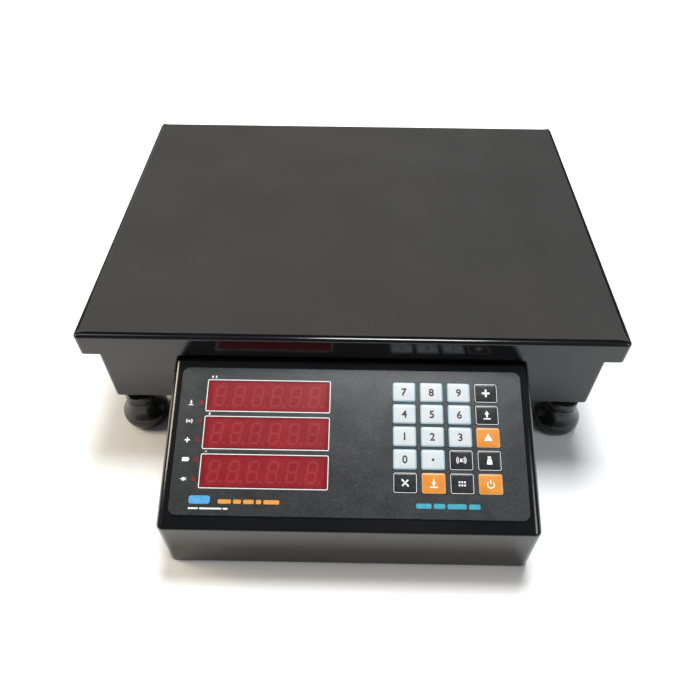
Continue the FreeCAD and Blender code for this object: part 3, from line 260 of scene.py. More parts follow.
# shared surface patterns
def newGroup(name, inputs, outputs):
    group = bpy.data.node_groups.new(name, "ShaderNodeTree")
    for label, default in inputs:
        socket = group.interface.new_socket(name=label, in_out="INPUT", socket_type="NodeSocketFloat")
        socket.default_value = default
    for label in outputs:
        group.interface.new_socket(name=label, in_out="OUTPUT", socket_type="NodeSocketFloat")
    return group, group.nodes.new("NodeGroupInput"), group.nodes.new("NodeGroupOutput")


def objectPoint(group):
    return group.nodes.new("ShaderNodeTexCoord").outputs["Object"]


def makeMottle():
    # slow blotches between two values
    group, start, end = newGroup("mottle", [("Scale", 40), ("Low", 0), ("High", 1)], ["Value"])
    noise = group.nodes.new("ShaderNodeTexNoise")
    noise.inputs["Detail"].default_value = 4
    spread = group.nodes.new("ShaderNodeMapRange")
    spread.inputs["From Min"].default_value = 0.32
    spread.inputs["From Max"].default_value = 0.68
    link = group.links.new
    link(objectPoint(group), noise.inputs["Vector"])
    link(start.outputs["Scale"], noise.inputs["Scale"])
    link(noise.outputs["Fac"], spread.inputs["Value"])
    link(start.outputs["Low"], spread.inputs["To Min"])
    link(start.outputs["High"], spread.inputs["To Max"])
    link(spread.outputs["Result"], end.inputs["Value"])
    return group


def makeGrain():
    # fine surface height: orange peel, moulded grain or film texture
    group, start, end = newGroup("grain", [("Scale", 900), ("StretchX", 1), ("StretchZ", 1)], ["Height"])
    point = objectPoint(group)
    stretch = group.nodes.new("ShaderNodeCombineXYZ")
    scaled = group.nodes.new("ShaderNodeVectorMath")
    scaled.operation = "MULTIPLY"
    noise = group.nodes.new("ShaderNodeTexNoise")
    noise.inputs["Detail"].default_value = 2
    link = group.links.new
    link(start.outputs["StretchX"], stretch.inputs["X"])
    stretch.inputs["Y"].default_value = 1
    link(start.outputs["StretchZ"], stretch.inputs["Z"])
    link(point, scaled.inputs[0])
    link(stretch.outputs[0], scaled.inputs[1])
    link(scaled.outputs[0], noise.inputs["Vector"])
    link(start.outputs["Scale"], noise.inputs["Scale"])
    link(noise.outputs["Fac"], end.inputs["Height"])
    return group


def makeSpeckle():
    # separate bright points, as flakes or dust, and on the overlay film painted glints standing in for its sparkle
    group, start, end = newGroup("speckle", [("Scale", 900), ("Size", 0.2), ("Share", 0.3)], ["Mask"])
    cells = group.nodes.new("ShaderNodeTexVoronoi")
    near = group.nodes.new("ShaderNodeMath")
    near.operation = "LESS_THAN"
    chosen = group.nodes.new("ShaderNodeMath")
    chosen.operation = "LESS_THAN"
    split = group.nodes.new("ShaderNodeSeparateColor")
    both = group.nodes.new("ShaderNodeMath")
    both.operation = "MULTIPLY"
    link = group.links.new
    link(objectPoint(group), cells.inputs["Vector"])
    link(start.outputs["Scale"], cells.inputs["Scale"])
    link(cells.outputs["Distance"], near.inputs[0])
    link(start.outputs["Size"], near.inputs[1])
    link(cells.outputs["Color"], split.inputs["Color"])
    link(split.outputs["Red"], chosen.inputs[0])
    link(start.outputs["Share"], chosen.inputs[1])
    link(near.outputs[0], both.inputs[0])
    link(chosen.outputs[0], both.inputs[1])
    link(both.outputs[0], end.inputs["Mask"])
    return group


def makeDust():
    # thin dust that settles on what faces up
    group, start, end = newGroup("dust", [("Scale", 14), ("Amount", 0.2)], ["Mask"])
    facing = group.nodes.new("ShaderNodeNewGeometry")
    split = group.nodes.new("ShaderNodeSeparateXYZ")
    level = group.nodes.new("ShaderNodeMapRange")
    level.inputs["From Min"].default_value = 0.5
    noise = group.nodes.new("ShaderNodeTexNoise")
    noise.inputs["Detail"].default_value = 6
    patch = group.nodes.new("ShaderNodeMapRange")
    patch.inputs["From Min"].default_value = 0.4
    patch.inputs["From Max"].default_value = 0.75
    both = group.nodes.new("ShaderNodeMath")
    both.operation = "MULTIPLY"
    share = group.nodes.new("ShaderNodeMath")
    share.operation = "MULTIPLY"
    link = group.links.new
    link(facing.outputs["Normal"], split.inputs[0])
    link(split.outputs["Z"], level.inputs["Value"])
    link(objectPoint(group), noise.inputs["Vector"])
    link(start.outputs["Scale"], noise.inputs["Scale"])
    link(noise.outputs["Fac"], patch.inputs["Value"])
    link(level.outputs["Result"], both.inputs[0])
    link(patch.outputs["Result"], both.inputs[1])
    link(both.outputs[0], share.inputs[0])
    link(start.outputs["Amount"], share.inputs[1])
    link(share.outputs[0], end.inputs["Mask"])
    return group


patterns = {"mottle": makeMottle(), "grain": makeGrain(), "speckle": makeSpeckle(), "dust": makeDust()}


# finishes
# tone: dark and light colour of the blotches, rough: lowest and highest, grain: (scale, depth in mm)
dustLook = {"scale": 14, "tone": (0.30, 0.28, 0.25)}
sheenFiner = 2.7
finishes = {
    "blackPaint": {"tone": ((0.003, 0.003, 0.004), (0.005, 0.005, 0.006)), "patch": 12, "rough": (0.11, 0.17),
                   "grain": (420, 0.015), "dust": 0.01, "gleam": 0.56,
                   "speck": (700, 0.12, 0.1, (0.04, 0.04, 0.04))},
    "matRubber": {"tone": ((0.029, 0.0275, 0.027), (0.033, 0.0315, 0.031)), "patch": 9, "rough": (0.62, 0.72),
                  "grain": (1500, 0.05), "dust": 0.02, "gleam": 0.16},
    "rubberBlack": {"tone": ((0.006, 0.006, 0.006), (0.010, 0.010, 0.010)), "patch": 60, "rough": (0.2, 0.3),
                    "grain": (800, 0.03), "dust": 0.1},
    "zincSteel": {"tone": ((0.42, 0.43, 0.44), (0.66, 0.66, 0.64)), "patch": 90, "rough": (0.3, 0.48),
                  "grain": (300, 0.02), "metal": 1, "dust": 0.08},
    "platedSteel": {"tone": ((0.55, 0.55, 0.56), (0.72, 0.72, 0.71)), "patch": 200, "rough": (0.2, 0.36),
                    "grain": (1500, 0.01), "metal": 1},
    "cellAluminium": {"tone": ((0.62, 0.63, 0.64), (0.78, 0.78, 0.79)), "patch": 50, "rough": (0.26, 0.38),
                      "grain": (900, 0.02), "stretch": (0.04, 1), "metal": 1},
    # overlayFilm: the bright flecks of its speck are painted glints, standing in for the sparkle of the textured
    # film
    "overlayFilm": {"tone": ((0.006, 0.007, 0.008), (0.009, 0.010, 0.011)), "patch": 30, "rough": (0.31, 0.36),
                    "grain": (1400, 0.07), "gleam": 1.0, "speck": (1700, 0.36, 0.4, (0.07, 0.077, 0.08))},
    "redWindow": {"tone": ((0.30, 0.006, 0.014), (0.35, 0.008, 0.017)), "patch": 60, "rough": (0.32, 0.38),
                  "grain": (1400, 0.06), "alpha": 0.5, "gleam": 0.6},
    "displayBlock": {"tone": ((0.16, 0.004, 0.006), (0.20, 0.006, 0.009)), "patch": 80, "rough": (0.4, 0.55),
                     "grain": (1500, 0.02)},
    "segmentLens": {"tone": ((0.52, 0.22, 0.23), (0.60, 0.26, 0.27)), "patch": 120, "rough": (0.3, 0.4),
                    "grain": (1500, 0.02)},
    "lampLens": {"tone": ((0.16, 0.006, 0.010), (0.24, 0.012, 0.018)), "patch": 300, "rough": (0.25, 0.4),
                 "grain": (1500, 0.02)},
    "circuitBoard": {"tone": ((0.008, 0.10, 0.035), (0.014, 0.16, 0.06)), "patch": 220, "rough": (0.3, 0.45),
                     "grain": (700, 0.05), "speck": (260, 0.16, 0.5, (0.55, 0.5, 0.4))},
    "boardParts": {"tone": ((0.012, 0.012, 0.013), (0.03, 0.03, 0.032)), "patch": 150, "rough": (0.4, 0.6),
                   "grain": (1800, 0.03)},
    "batteryCase": {"tone": ((0.02, 0.02, 0.022), (0.034, 0.034, 0.037)), "patch": 30, "rough": (0.42, 0.58),
                    "grain": (1500, 0.05), "dust": 0.15},
    "coreSteel": {"tone": ((0.16, 0.16, 0.17), (0.34, 0.34, 0.35)), "patch": 60, "rough": (0.4, 0.6),
                  "grain": (1400, 0.06), "stretch": (0.02, 1), "metal": 1},
    "inletPlastic": {"tone": ((0.010, 0.010, 0.011), (0.018, 0.018, 0.019)), "patch": 90, "rough": (0.38, 0.52),
                     "grain": (1600, 0.04)},
    "brassPin": {"tone": ((0.62, 0.44, 0.20), (0.76, 0.56, 0.28)), "patch": 200, "rough": (0.22, 0.34),
                 "grain": (1500, 0.01), "metal": 1},
    "cableSheath": {"tone": ((0.03, 0.03, 0.032), (0.05, 0.05, 0.053)), "patch": 60, "rough": (0.45, 0.6),
                    "grain": (900, 0.04)},
    "keyWhite": {"tone": ((0.52, 0.56, 0.58), (0.57, 0.60, 0.62)), "patch": 130, "rough": (0.3, 0.4),
                 "grain": (1100, 0.02)},
    "keyWhiteRim": {"tone": ((0.24, 0.40, 0.47), (0.30, 0.46, 0.52)), "patch": 130, "rough": (0.3, 0.4),
                    "grain": (1100, 0.02)},
    "keyOrange": {"tone": ((0.60, 0.21, 0.02), (0.66, 0.25, 0.035)), "patch": 130, "rough": (0.3, 0.4),
                  "grain": (1100, 0.02)},
    "keyOrangeRim": {"tone": ((0.56, 0.27, 0.09), (0.62, 0.32, 0.12)), "patch": 130, "rough": (0.3, 0.4),
                     "grain": (1100, 0.02)},
    "keyBlack": {"tone": ((0.012, 0.013, 0.014), (0.020, 0.021, 0.022)), "patch": 130, "rough": (0.26, 0.36),
                 "grain": (1100, 0.03)},
    "inkWhite": {"tone": ((0.74, 0.74, 0.74), (0.86, 0.86, 0.86)), "patch": 300, "rough": (0.35, 0.5),
                 "grain": (1500, 0.01)},
    "inkDark": {"tone": ((0.015, 0.015, 0.017), (0.03, 0.03, 0.033)), "patch": 300, "rough": (0.35, 0.5),
                "grain": (1500, 0.01)},
    "inkOrange": {"tone": ((0.62, 0.24, 0.03), (0.72, 0.30, 0.05)), "patch": 300, "rough": (0.35, 0.5),
                  "grain": (1500, 0.01)},
    "inkBlue": {"tone": ((0.05, 0.26, 0.52), (0.09, 0.36, 0.66)), "patch": 300, "rough": (0.35, 0.5),
                "grain": (1500, 0.01)},
    "inkCyan": {"tone": ((0.03, 0.26, 0.36), (0.05, 0.34, 0.46)), "patch": 300, "rough": (0.35, 0.5),
                "grain": (1500, 0.01)},
}


def placeGroup(tree, name, **values):
    node = tree.nodes.new("ShaderNodeGroup")
    node.node_tree = patterns[name]
    for label, amount in values.items():
        node.inputs[label].default_value = amount
    return node


def mixColours(tree, factor, low, high):
    mix = tree.nodes.new("ShaderNodeMix")
    mix.data_type = "RGBA"
    tree.links.new(factor, mix.inputs["Factor"])
    for socket, colour in ((mix.inputs["A"], low), (mix.inputs["B"], high)):
        if isinstance(colour, tuple):
            socket.default_value = (*colour, 1)
        else:
            tree.links.new(colour, socket)
    return mix.outputs["Result"]


def makeFinish(name, recipe):
    material = bpy.data.materials.new(name)
    material.use_nodes = True
    tree = material.node_tree
    shader = tree.nodes["Principled BSDF"]
    patches = placeGroup(tree, "mottle", Scale=recipe["patch"], Low=0, High=1)
    colour = mixColours(tree, patches.outputs["Value"], *recipe["tone"])
    if "speck" in recipe:
        scale, size, share, bright = recipe["speck"]
        # bright points: painted glints on the overlay film, real flakes, specks or pads on the other finishes
        flakesAndGlints = placeGroup(tree, "speckle", Scale=scale, Size=size, Share=share)
        colour = mixColours(tree, flakesAndGlints.outputs["Mask"], colour, bright)
    if "dust" in recipe:
        dust = placeGroup(tree, "dust", Scale=dustLook["scale"], Amount=recipe["dust"])
        colour = mixColours(tree, dust.outputs["Mask"], colour, dustLook["tone"])
    tree.links.new(colour, shader.inputs["Base Color"])
    low, high = recipe["rough"]
    sheen = placeGroup(tree, "mottle", Scale=recipe["patch"] * sheenFiner, Low=low, High=high)
    tree.links.new(sheen.outputs["Value"], shader.inputs["Roughness"])
    scale, depth = recipe["grain"]
    across, along = recipe.get("stretch", (1, 1))
    grain = placeGroup(tree, "grain", Scale=scale, StretchX=across, StretchZ=along)
    bump = tree.nodes.new("ShaderNodeBump")
    bump.inputs["Distance"].default_value = depth * mm
    tree.links.new(grain.outputs["Height"], bump.inputs["Height"])
    tree.links.new(bump.outputs["Normal"], shader.inputs["Normal"])
    shader.inputs["Metallic"].default_value = recipe.get("metal", 0)
    shader.inputs["Alpha"].default_value = recipe.get("alpha", 1)
    shader.inputs["Specular IOR Level"].default_value = recipe.get("gleam", 0.5)
    return material


finish = {name: makeFinish(name, recipe) for name, recipe in finishes.items()}

# which finish each material slot of the record takes on the CAD nodes
slotFinish = {
    "black_paint": "blackPaint", "mat_rubber": "matRubber", "rubber": "rubberBlack",
    "zinc_steel": "zincSteel",
    "plated_fasteners": "platedSteel", "cell_aluminium": "cellAluminium", "overlay_film": "overlayFilm",
    "red_window": "redWindow", "display_block": "displayBlock", "lamp_lens": "lampLens",
    "circuit_board": "circuitBoard", "board_parts": "boardParts", "battery_case": "batteryCase",
    "transformer_core": "coreSteel", "inlet_plastic": "inletPlastic", "cable_sheath": "cableSheath",
    "key_white": "keyWhite", "key_orange": "keyOrange", "key_black": "keyBlack",
}
nodeSlot = {part["node"]: part["material_slot"] for part in frame["record"]["subparts"]}
for node, obj in frame["nodes"].items():
    obj.data.materials.clear()
    obj.data.materials.append(finish[slotFinish[nodeSlot[node]]])
print("finishes made:", len(finish))


# the mat
matLook = {"cell": 2.18, "relief": 0.46, "corner": 7.0}


def makeMat():
    low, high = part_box("platform_mat")
    wide, deep = high.x - low.x, high.y - low.y
    middle = (low + high) / 2
    across = round(wide / (matLook["cell"] * mm))
    along = round(deep / (matLook["cell"] * mm))
    corner = matLook["corner"] * mm
    relief = matLook["relief"] * mm
    deselect()
    bpy.ops.mesh.primitive_grid_add(x_subdivisions=across, y_subdivisions=along, size=1)
    obj = bpy.context.object
    obj.scale = (wide, deep, 1)
    settle(obj)
    for vertex in obj.data.vertices:      # the square corners are drawn in to an arc
        x, y = vertex.co.x, vertex.co.y
        a = (abs(x) - (wide / 2 - corner)) / corner
        b = (abs(y) - (deep / 2 - corner)) / corner
        if a > 0 and b > 0:
            vertex.co.x += math.copysign(corner * (a * math.sqrt(1 - b * b / 2) - a), x)
            vertex.co.y += math.copysign(corner * (b * math.sqrt(1 - a * a / 2) - b), y)
    editAll(obj)
    bpy.ops.mesh.poke(offset=relief)
    leaveEdit()
    for vertex in obj.data.vertices:
        vertex.co.z -= relief
    pick(obj, "EDGE", lambda a, b: False)
    bpy.ops.mesh.select_non_manifold()
    raiseBy(low.z - high.z + relief)
    bpy.ops.mesh.edge_face_add()
    bpy.ops.mesh.select_all(action="SELECT")
    bpy.ops.mesh.normals_make_consistent(inside=False)
    leaveEdit()
    obj.location = (middle.x, middle.y, high.z)
    settle(obj)
    give(obj, "mat_sheet", "pan", [finish["matRubber"]])
    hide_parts("platform_mat")


makeMat()
print("mat made")


# the sloping panel
pressAxis = Vector(next(j["axis"] for j in frame["joints"] if j["name"] == "key_7_press"))
tilt = math.atan2(pressAxis.y, -pressAxis.z)
overlayLow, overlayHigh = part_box("console_overlay")
span = overlayHigh - overlayLow
overlayThick = (span.z * math.cos(tilt) - span.y * math.sin(tilt)) / math.cos(2 * tilt)
panelPlace = (Matrix.Translation((0, overlayLow.y + overlayThick * math.sin(tilt), overlayLow.z))
              @ Matrix.Rotation(tilt, 4, "X"))


def panelPoints(node):
    back = panelPlace.inverted()
    return [back @ vertex.co for vertex in frame["nodes"][node].data.vertices]


def panelBox(node):
    points = panelPoints(node)
    low = Vector([min(p[i] for p in points) for i in range(3)])
    high = Vector([max(p[i] for p in points) for i in range(3)])
    return low, high


def onPanel(obj, u=0.0, v=0.0, w=0.0):
    obj.data.transform(panelPlace @ Matrix.Translation((u, v, w)))
    return obj


def windowBoxes():
    # the three windows, top one first, as (middle, size) on the panel
    low, high = panelBox("display_windows")
    levels = sorted({round(p.y, 5) for p in panelPoints("display_windows")})
    rows = []
    for bottom, top in zip(levels[0::2], levels[1::2]):
        middle = Vector(((low.x + high.x) / 2, (bottom + top) / 2))
        rows.append((middle, Vector((high.x - low.x, top - bottom))))
    return rows[::-1]


printLook = {"ink": 0.04, "frameWidth": 0.55, "frameGap": 0.35, "frameCorner": 1.2}
ink = printLook["ink"] * mm


def inked(obj, name, colour, u=0.0, v=0.0, w=None, body="base"):
    # gives a flat shape the thickness of ink and lays it on the panel
    thicken(obj, ink)
    onPanel(obj, u, v, overlayThick if w is None else w)
    return give(obj, name, body, [finish[colour]])


# signs printed on keys and panel; s is a sign's size and its parts are shares of it
def signPlus(s):
    return joined([bar(0, 0, 0.9 * s, 0.22 * s), bar(0, 0.28 * s, 0.22 * s, 0.34 * s),
                   bar(0, -0.28 * s, 0.22 * s, 0.34 * s)], "sign")


def signRecall(s):
    arrow = disc(0, 0.24 * s, 0.3 * s, 3)
    return joined([arrow, bar(0, -0.08 * s, 0.18 * s, 0.36 * s),
                   bar(0, -0.42 * s, 0.8 * s, 0.14 * s)], "sign")


def signZero(s):
    return disc(0, -0.08 * s, 0.56 * s, 3)


def signAlarm(s):
    parts = [disc(0, 0.06 * s, 0.13 * s, 20), bar(0, -0.1 * s, 0.3 * s, 0.16 * s)]
    for side in (0, math.pi):
        for radius in (0.30, 0.48):
            parts.append(ring(0, 0, radius * s, 0.09 * s, side, 0.85))
    return joined(parts, "sign")


def signWeight(s):
    body = plate(0, -0.12 * s, 0.62 * s, 0.62 * s, 0.1 * s)
    for vertex in body.data.vertices:
        if vertex.co.y > 0:
            vertex.co.x *= 0.8
    return joined([body, bar(0, 0.24 * s, 0.2 * s, 0.1 * s),
                   plate(0, 0.38 * s, 0.4 * s, 0.18 * s, 0.06 * s)], "sign")


def signClear(s):
    return joined([bar(0, 0, 0.95 * s, 0.17 * s, math.radians(45)),
                   bar(0.24 * s, -0.24 * s, 0.4 * s, 0.17 * s, math.radians(-45)),
                   bar(-0.24 * s, 0.24 * s, 0.4 * s, 0.17 * s, math.radians(-45))], "sign")


def signTare(s):
    arrow = disc(0, -0.04 * s, 0.28 * s, 3, math.pi)
    return joined([arrow, bar(0, 0.28 * s, 0.16 * s, 0.34 * s),
                   bar(0, -0.42 * s, 0.86 * s, 0.14 * s)], "sign")


def signPieces(s):
    dots = [plate(x * 0.3 * s, y * 0.17 * s, 0.2 * s, 0.2 * s, 0.05 * s) for x in (-1, 0, 1) for y in (-1, 1)]
    return joined(dots, "sign")


def signPower(s):
    return joined([ring(0, -0.04 * s, 0.32 * s, 0.11 * s, -math.pi / 2, 2.4),
                   bar(0, 0.26 * s, 0.11 * s, 0.42 * s)], "sign")


def signBattery(s):
    return joined([plate(0, 0, 1.0 * s, 0.62 * s, 0.06 * s), bar(0.55 * s, 0, 0.1 * s, 0.26 * s)], "sign")


def signPlug(s):
    return joined([plate(0, 0, 0.5 * s, 0.56 * s, 0.12 * s), bar(0.4 * s, 0.14 * s, 0.28 * s, 0.1 * s),
                   bar(0.4 * s, -0.14 * s, 0.28 * s, 0.1 * s), bar(-0.42 * s, 0, 0.34 * s, 0.1 * s)], "sign")


def signFigure(s, figure):
    deselect()
    bpy.ops.object.text_add()
    obj = bpy.context.object
    obj.data.body = figure
    obj.data.size = s * 1.35
    obj.data.offset = s * 0.03
    obj.data.resolution_u = 4
    only(obj)
    bpy.ops.object.convert(target="MESH")
    obj = bpy.context.object
    spots = [vertex.co for vertex in obj.data.vertices]
    middle = [(min(p[i] for p in spots) + max(p[i] for p in spots)) / 2 for i in (0, 1)]
    obj.data.transform(Matrix.Translation((-middle[0], -middle[1], 0)))
    return obj


# keys
# rim: coloured border round the face, outline: line printed round a black key
keyLook = {"corner": 1.2, "soften": 0.12, "rim": 0.9, "faceRise": 0.04, "dome": 0.08, "domeEdge": 1.6,
           "legend": 5.6, "signGrow": 1.12, "outline": 0.3, "thick": 0.7, "stem": 1.75, "sink": 0.01,
           "faceSoft": 0.1, "faceDrop": 0.02, "faceCorner": 0.7}
keySigns = {
    "key_memory_add": signPlus, "key_memory_recall": signRecall, "key_zero": signZero,
    "key_alarm": signAlarm,
    "key_unit_weight": signWeight, "key_clear": signClear, "key_tare": signTare, "key_piece_count": signPieces,
    "key_power": signPower, "key_point": lambda s: disc(0, 0, 0.15 * s, 20),
}
keyFinish = {
    "key_white": ("keyWhite", "keyWhiteRim", "inkDark"),
    "key_orange": ("keyOrange", "keyOrangeRim", "inkWhite"),
    "key_black": ("keyBlack", "keyBlack", "inkWhite"),
}


def makeKeyPad(wide, tall, thick, face, rim):
    # a softened pad in the rim's colour under a gently domed face
    soft = keyLook["soften"] * mm
    pad = stepped(keyLook["corner"] * mm, ((wide, tall, 0), (wide, tall, thick - soft),
                                           (wide - 0.6 * soft, tall - 0.6 * soft, thick - 0.3 * soft),
                                           (wide - 2 * soft, tall - 2 * soft, thick)))
    wide -= 2 * keyLook["rim"] * mm
    tall -= 2 * keyLook["rim"] * mm
    low = thick - keyLook["sink"] * mm
    rise = thick + keyLook["faceRise"] * mm
    edge = keyLook["domeEdge"] * mm
    inward = keyLook["faceSoft"] * mm
    crown = stepped(keyLook["corner"] * mm * keyLook["faceCorner"], (
        (wide, tall, low), (wide, tall, rise - keyLook["faceDrop"] * mm),
        (wide - inward, tall - inward, rise), (wide - edge, tall - edge, rise + keyLook["dome"] * mm)))
    return joined([painted(pad, finish[rim]), painted(crown, finish[face])], "pad")


def makeKeys():
    thick = keyLook["thick"] * mm
    for node in sorted(n for n in frame["nodes"] if n.startswith("key_")):
        low, high = panelBox(node)
        top = high.z
        rim = [p for p in panelPoints(node) if p.z > top - 0.1 * mm]
        wide = max(p.x for p in rim) - min(p.x for p in rim)
        tall = max(p.y for p in rim) - min(p.y for p in rim)
        middle = (low + high) / 2
        faceName, rimName, legendName = keyFinish[nodeSlot[node]]
        body = node + "_body"
        pad = makeKeyPad(wide, tall, thick, faceName, rimName)
        deselect()
        bpy.ops.mesh.primitive_cylinder_add(vertices=24, radius=keyLook["stem"] * mm,
                                            depth=top - thick - low.z,
                                            location=(0, 0, (low.z - top + thick) / 2))
        stem = painted(settle(bpy.context.object), finish[rimName])
        pad = joined([pad, stem], node + "_pad")
        onPanel(pad, middle.x, middle.y, top - thick)
        smooth(pad, 30)
        give(pad, node + "_pad", body, [])
        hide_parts(node)
        size = keyLook["legend"] * mm
        legend = keySigns[node](size * keyLook["signGrow"]) if node in keySigns else signFigure(size, node[-1])
        faceTop = top + (keyLook["faceRise"] + keyLook["dome"]) * mm
        inked(legend, node + "_legend", legendName, middle.x, middle.y, faceTop, body)
        if nodeSlot[node] == "key_black":
            border = frameOf(0, 0, wide - 4 * keyLook["soften"] * mm, tall - 4 * keyLook["soften"] * mm,
                             keyLook["corner"] * mm, keyLook["outline"] * mm)
            inked(border, node + "_outline", legendName, middle.x, middle.y, top, body)


makeKeys()
print("keys made")


# windows and digits
# slit and chamfer are shares of a stroke; shift moves the row left, to leave room for the last dot
digitLook = {"count": 6, "pitch": 13.65, "wide": 8.2, "tall": 15.8, "stroke": 1.7, "slit": 0.16,
             "chamfer": 0.42, "lean": 8, "dot": 1.0, "dotGap": 2.2, "raise": 0.08, "shift": 1}


def makeDigit():
    wide, tall = digitLook["wide"] * mm, digitLook["tall"] * mm
    stroke = digitLook["stroke"] * mm
    gap = stroke * digitLook["slit"]
    chamfer = stroke * digitLook["chamfer"]
    half = (tall - stroke) / 2
    strips = []
    for level in (-1, 0, 1):
        strips.append(plate(0, level * half, wide - stroke - 2 * gap, stroke, chamfer, 1))
    for side in (-1, 1):
        for level in (-1, 1):
            strips.append(plate(side * (wide - stroke) / 2, level * half / 2, stroke, half - 2 * gap,
                                chamfer, 1))
    strips.append(disc(wide / 2 + digitLook["dotGap"] * mm, -half, digitLook["dot"] * mm, 16))
    digit = joined(strips, "digit")
    lean = math.tan(math.radians(digitLook["lean"]))
    for vertex in digit.data.vertices:
        vertex.co.x += vertex.co.y * lean
    thicken(digit, digitLook["raise"] * mm)
    return digit


def makeDisplays():
    blockHigh = panelBox("display_modules")[1]
    digit = makeDigit()
    for name, (middle, size) in zip(("weight", "unit_weight", "pieces"), windowBoxes()):
        copies = []
        for place in range(digitLook["count"]):
            u = (middle.x + (place - (digitLook["count"] - 1) / 2) * digitLook["pitch"] * mm
                 - digitLook["shift"] * mm)
            copies.append(copyOf(digit, panelPlace @ Matrix.Translation((u, middle.y, blockHigh.z))))
        row = joined(copies, "digits_" + name)
        give(row, "digits_" + name, "base", [finish["segmentLens"]])
        grow = 2 * (printLook["frameGap"] + printLook["frameWidth"]) * mm
        outline = frameOf(0, 0, size.x + grow, size.y + grow, printLook["frameCorner"] * mm,
                          printLook["frameWidth"] * mm)
        inked(outline, "frame_" + name, "inkWhite", middle.x, middle.y)
    bpy.data.objects.remove(digit)


makeDisplays()
print("displays made")


# lamps and printed marks
markLook = {
    # the four rows of bars are each (across, up, width, height)
    "lampGap": 7.2, "lampSize": 4.1, "batteryWide": 4.6,
    "labelLifts": (2.9, 2.4, 2.4), "labelSize": 1.9, "labelInset": 2.4, "labelPitch": 2.6,
    "blue": (-102.4, 10.4, 14.5, 5.6), "blueUnder": (-96.0, 4.6, 27.0, 1.1),
    "orange": (-68.6, 9.4, 42.0, 2.8), "cyan": (67.6, 8.6, 43.8, 3.4),
}


def lampSpots():
    low, high = panelBox("indicator_lamps")
    radius = (high.x - low.x) / 2
    pitch = (high.y - low.y - 2 * radius) / 4
    return [((low.x + high.x) / 2, high.y - radius - step * pitch, radius) for step in range(5)]


def dashes(wide, tall, shares):
    # a row of plain bars whose widths follow the shares, a stand-in for a printed line
    gap = wide * 0.035
    unit = (wide - gap * (len(shares) - 1)) / sum(shares)
    bars = []
    x = -wide / 2
    for share in shares:
        bars.append(plate(x + share * unit / 2, 0, share * unit, tall, tall * 0.3, 3))
        x += share * unit + gap
    return joined(bars, "sign")


def makeMarks():
    spots = lampSpots()
    lamps = joined([disc(u, v, radius, 24) for u, v, radius in spots], "sign")
    inked(lamps, "lamp_spots", "lampLens")
    signs = []
    for (u, v, radius), sign in zip(spots, (signTare, signAlarm, signPlus, signBattery, signPlug)):
        scale = markLook["batteryWide"] if sign is signBattery else markLook["lampSize"]
        obj = sign(scale * mm)
        obj.data.transform(Matrix.Translation((u - markLook["lampGap"] * mm, v, 0)))
        signs.append(obj)
    labels = zip(windowBoxes(), markLook["labelLifts"], (signWeight, signWeight, signPieces), (2, 1, 1))
    for (middle, size), lift, sign, count in labels:
        for place in range(count):
            obj = sign(markLook["labelSize"] * mm)
            left = middle.x - size.x / 2 + (markLook["labelInset"] + place * markLook["labelPitch"]) * mm
            obj.data.transform(Matrix.Translation((left, middle.y + size.y / 2 + lift * mm, 0)))
            signs.append(obj)
    inked(joined(signs, "sign"), "panel_signs", "inkWhite")
    for name, colour, shares in (("blue", "inkBlue", (1,)), ("blueUnder", "inkWhite", (4, 9, 2)),
                                 ("orange", "inkOrange", (5, 3, 4, 2, 6)), ("cyan", "inkCyan", (4, 3, 5, 3))):
        u, v, wide, tall = (x * mm for x in markLook[name])
        inked(dashes(wide, tall, shares), "mark_" + name, colour, u, v)


makeMarks()
print("marks made")


# levelling feet
footLook = {
    # radius and height of each ring, from the sole up, then down the stud's bore
    "rings": ((13.4, 0), (14.8, 0.35), (16.3, 1.5), (17.6, 3.4), (18.5, 5.6), (18.95, 8.0), (19.0, 10.4),
              (18.8, 12.6), (17.9, 14.6), (16.3, 17.2), (14.7, 20.2), (13.4, 23.4), (12.7, 26.4),
              (12.5, 28.6),
              (12.1, 29.0), (12.1, 29.8), (12.5, 30.2), (12.5, 35.6), (12.1, 36.6), (11.2, 37.0), (6.4, 37.0),
              (5.2, 36.4), (5.2, 12.0)),
    "around": 72,
}


def turned(rings, around):
    radius, height = rings[0]
    deselect()
    bpy.ops.mesh.primitive_circle_add(vertices=around, radius=radius * mm, fill_type="NGON",
                                      location=(0, 0, height * mm))
    obj = settle(bpy.context.object)
    pick(obj, "FACE", lambda c, n: True)
    for (fromRadius, fromHeight), (toRadius, toHeight) in zip(rings, rings[1:]):
        raiseBy((toHeight - fromHeight) * mm)
        grow = toRadius / fromRadius
        bpy.ops.transform.resize(value=(grow, grow, 1), center_override=(0, 0, toHeight * mm))
    bpy.ops.mesh.select_all(action="SELECT")
    bpy.ops.mesh.normals_make_consistent(inside=False)
    leaveEdit()
    return obj


def makeFeet():
    foot = turned(footLook["rings"], footLook["around"])
    for node in sorted(frame["nodes"]):
        if node.startswith("foot_pad_"):
            low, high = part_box(node)
            middle = (low + high) / 2
            obj = copyOf(foot, Matrix.Translation((middle.x, middle.y, low.z)))
            smooth(obj, 40)
            corner = node.replace("foot_pad_", "")
            give(obj, "foot_rubber_" + corner, "foot_" + corner, [finish["rubberBlack"]])
            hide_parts(node)
    bpy.data.objects.remove(foot)


makeFeet()
print("feet made")


# mains inlet
inletLook = {"body": (27.5, 19.5), "flange": (50, 23), "flangeThick": 2.0, "flangeCorner": 4.0,
             "cornerShare": 0.6, "socket": (24.2, 16.6), "socketDepth": 16.0, "soften": 0.5,
             "pin": (2.0, 4.0), "pinCorner": 0.4, "pinReach": 9.5, "pins": ((0, 1), (-7, -5), (7, -5))}
# the rear wall's own axes: right when seen from behind, up, and outwards
rearWall = Matrix(((-1, 0, 0, 0), (0, 0, 1, 0), (0, 1, 0, 0), (0, 0, 0, 1)))


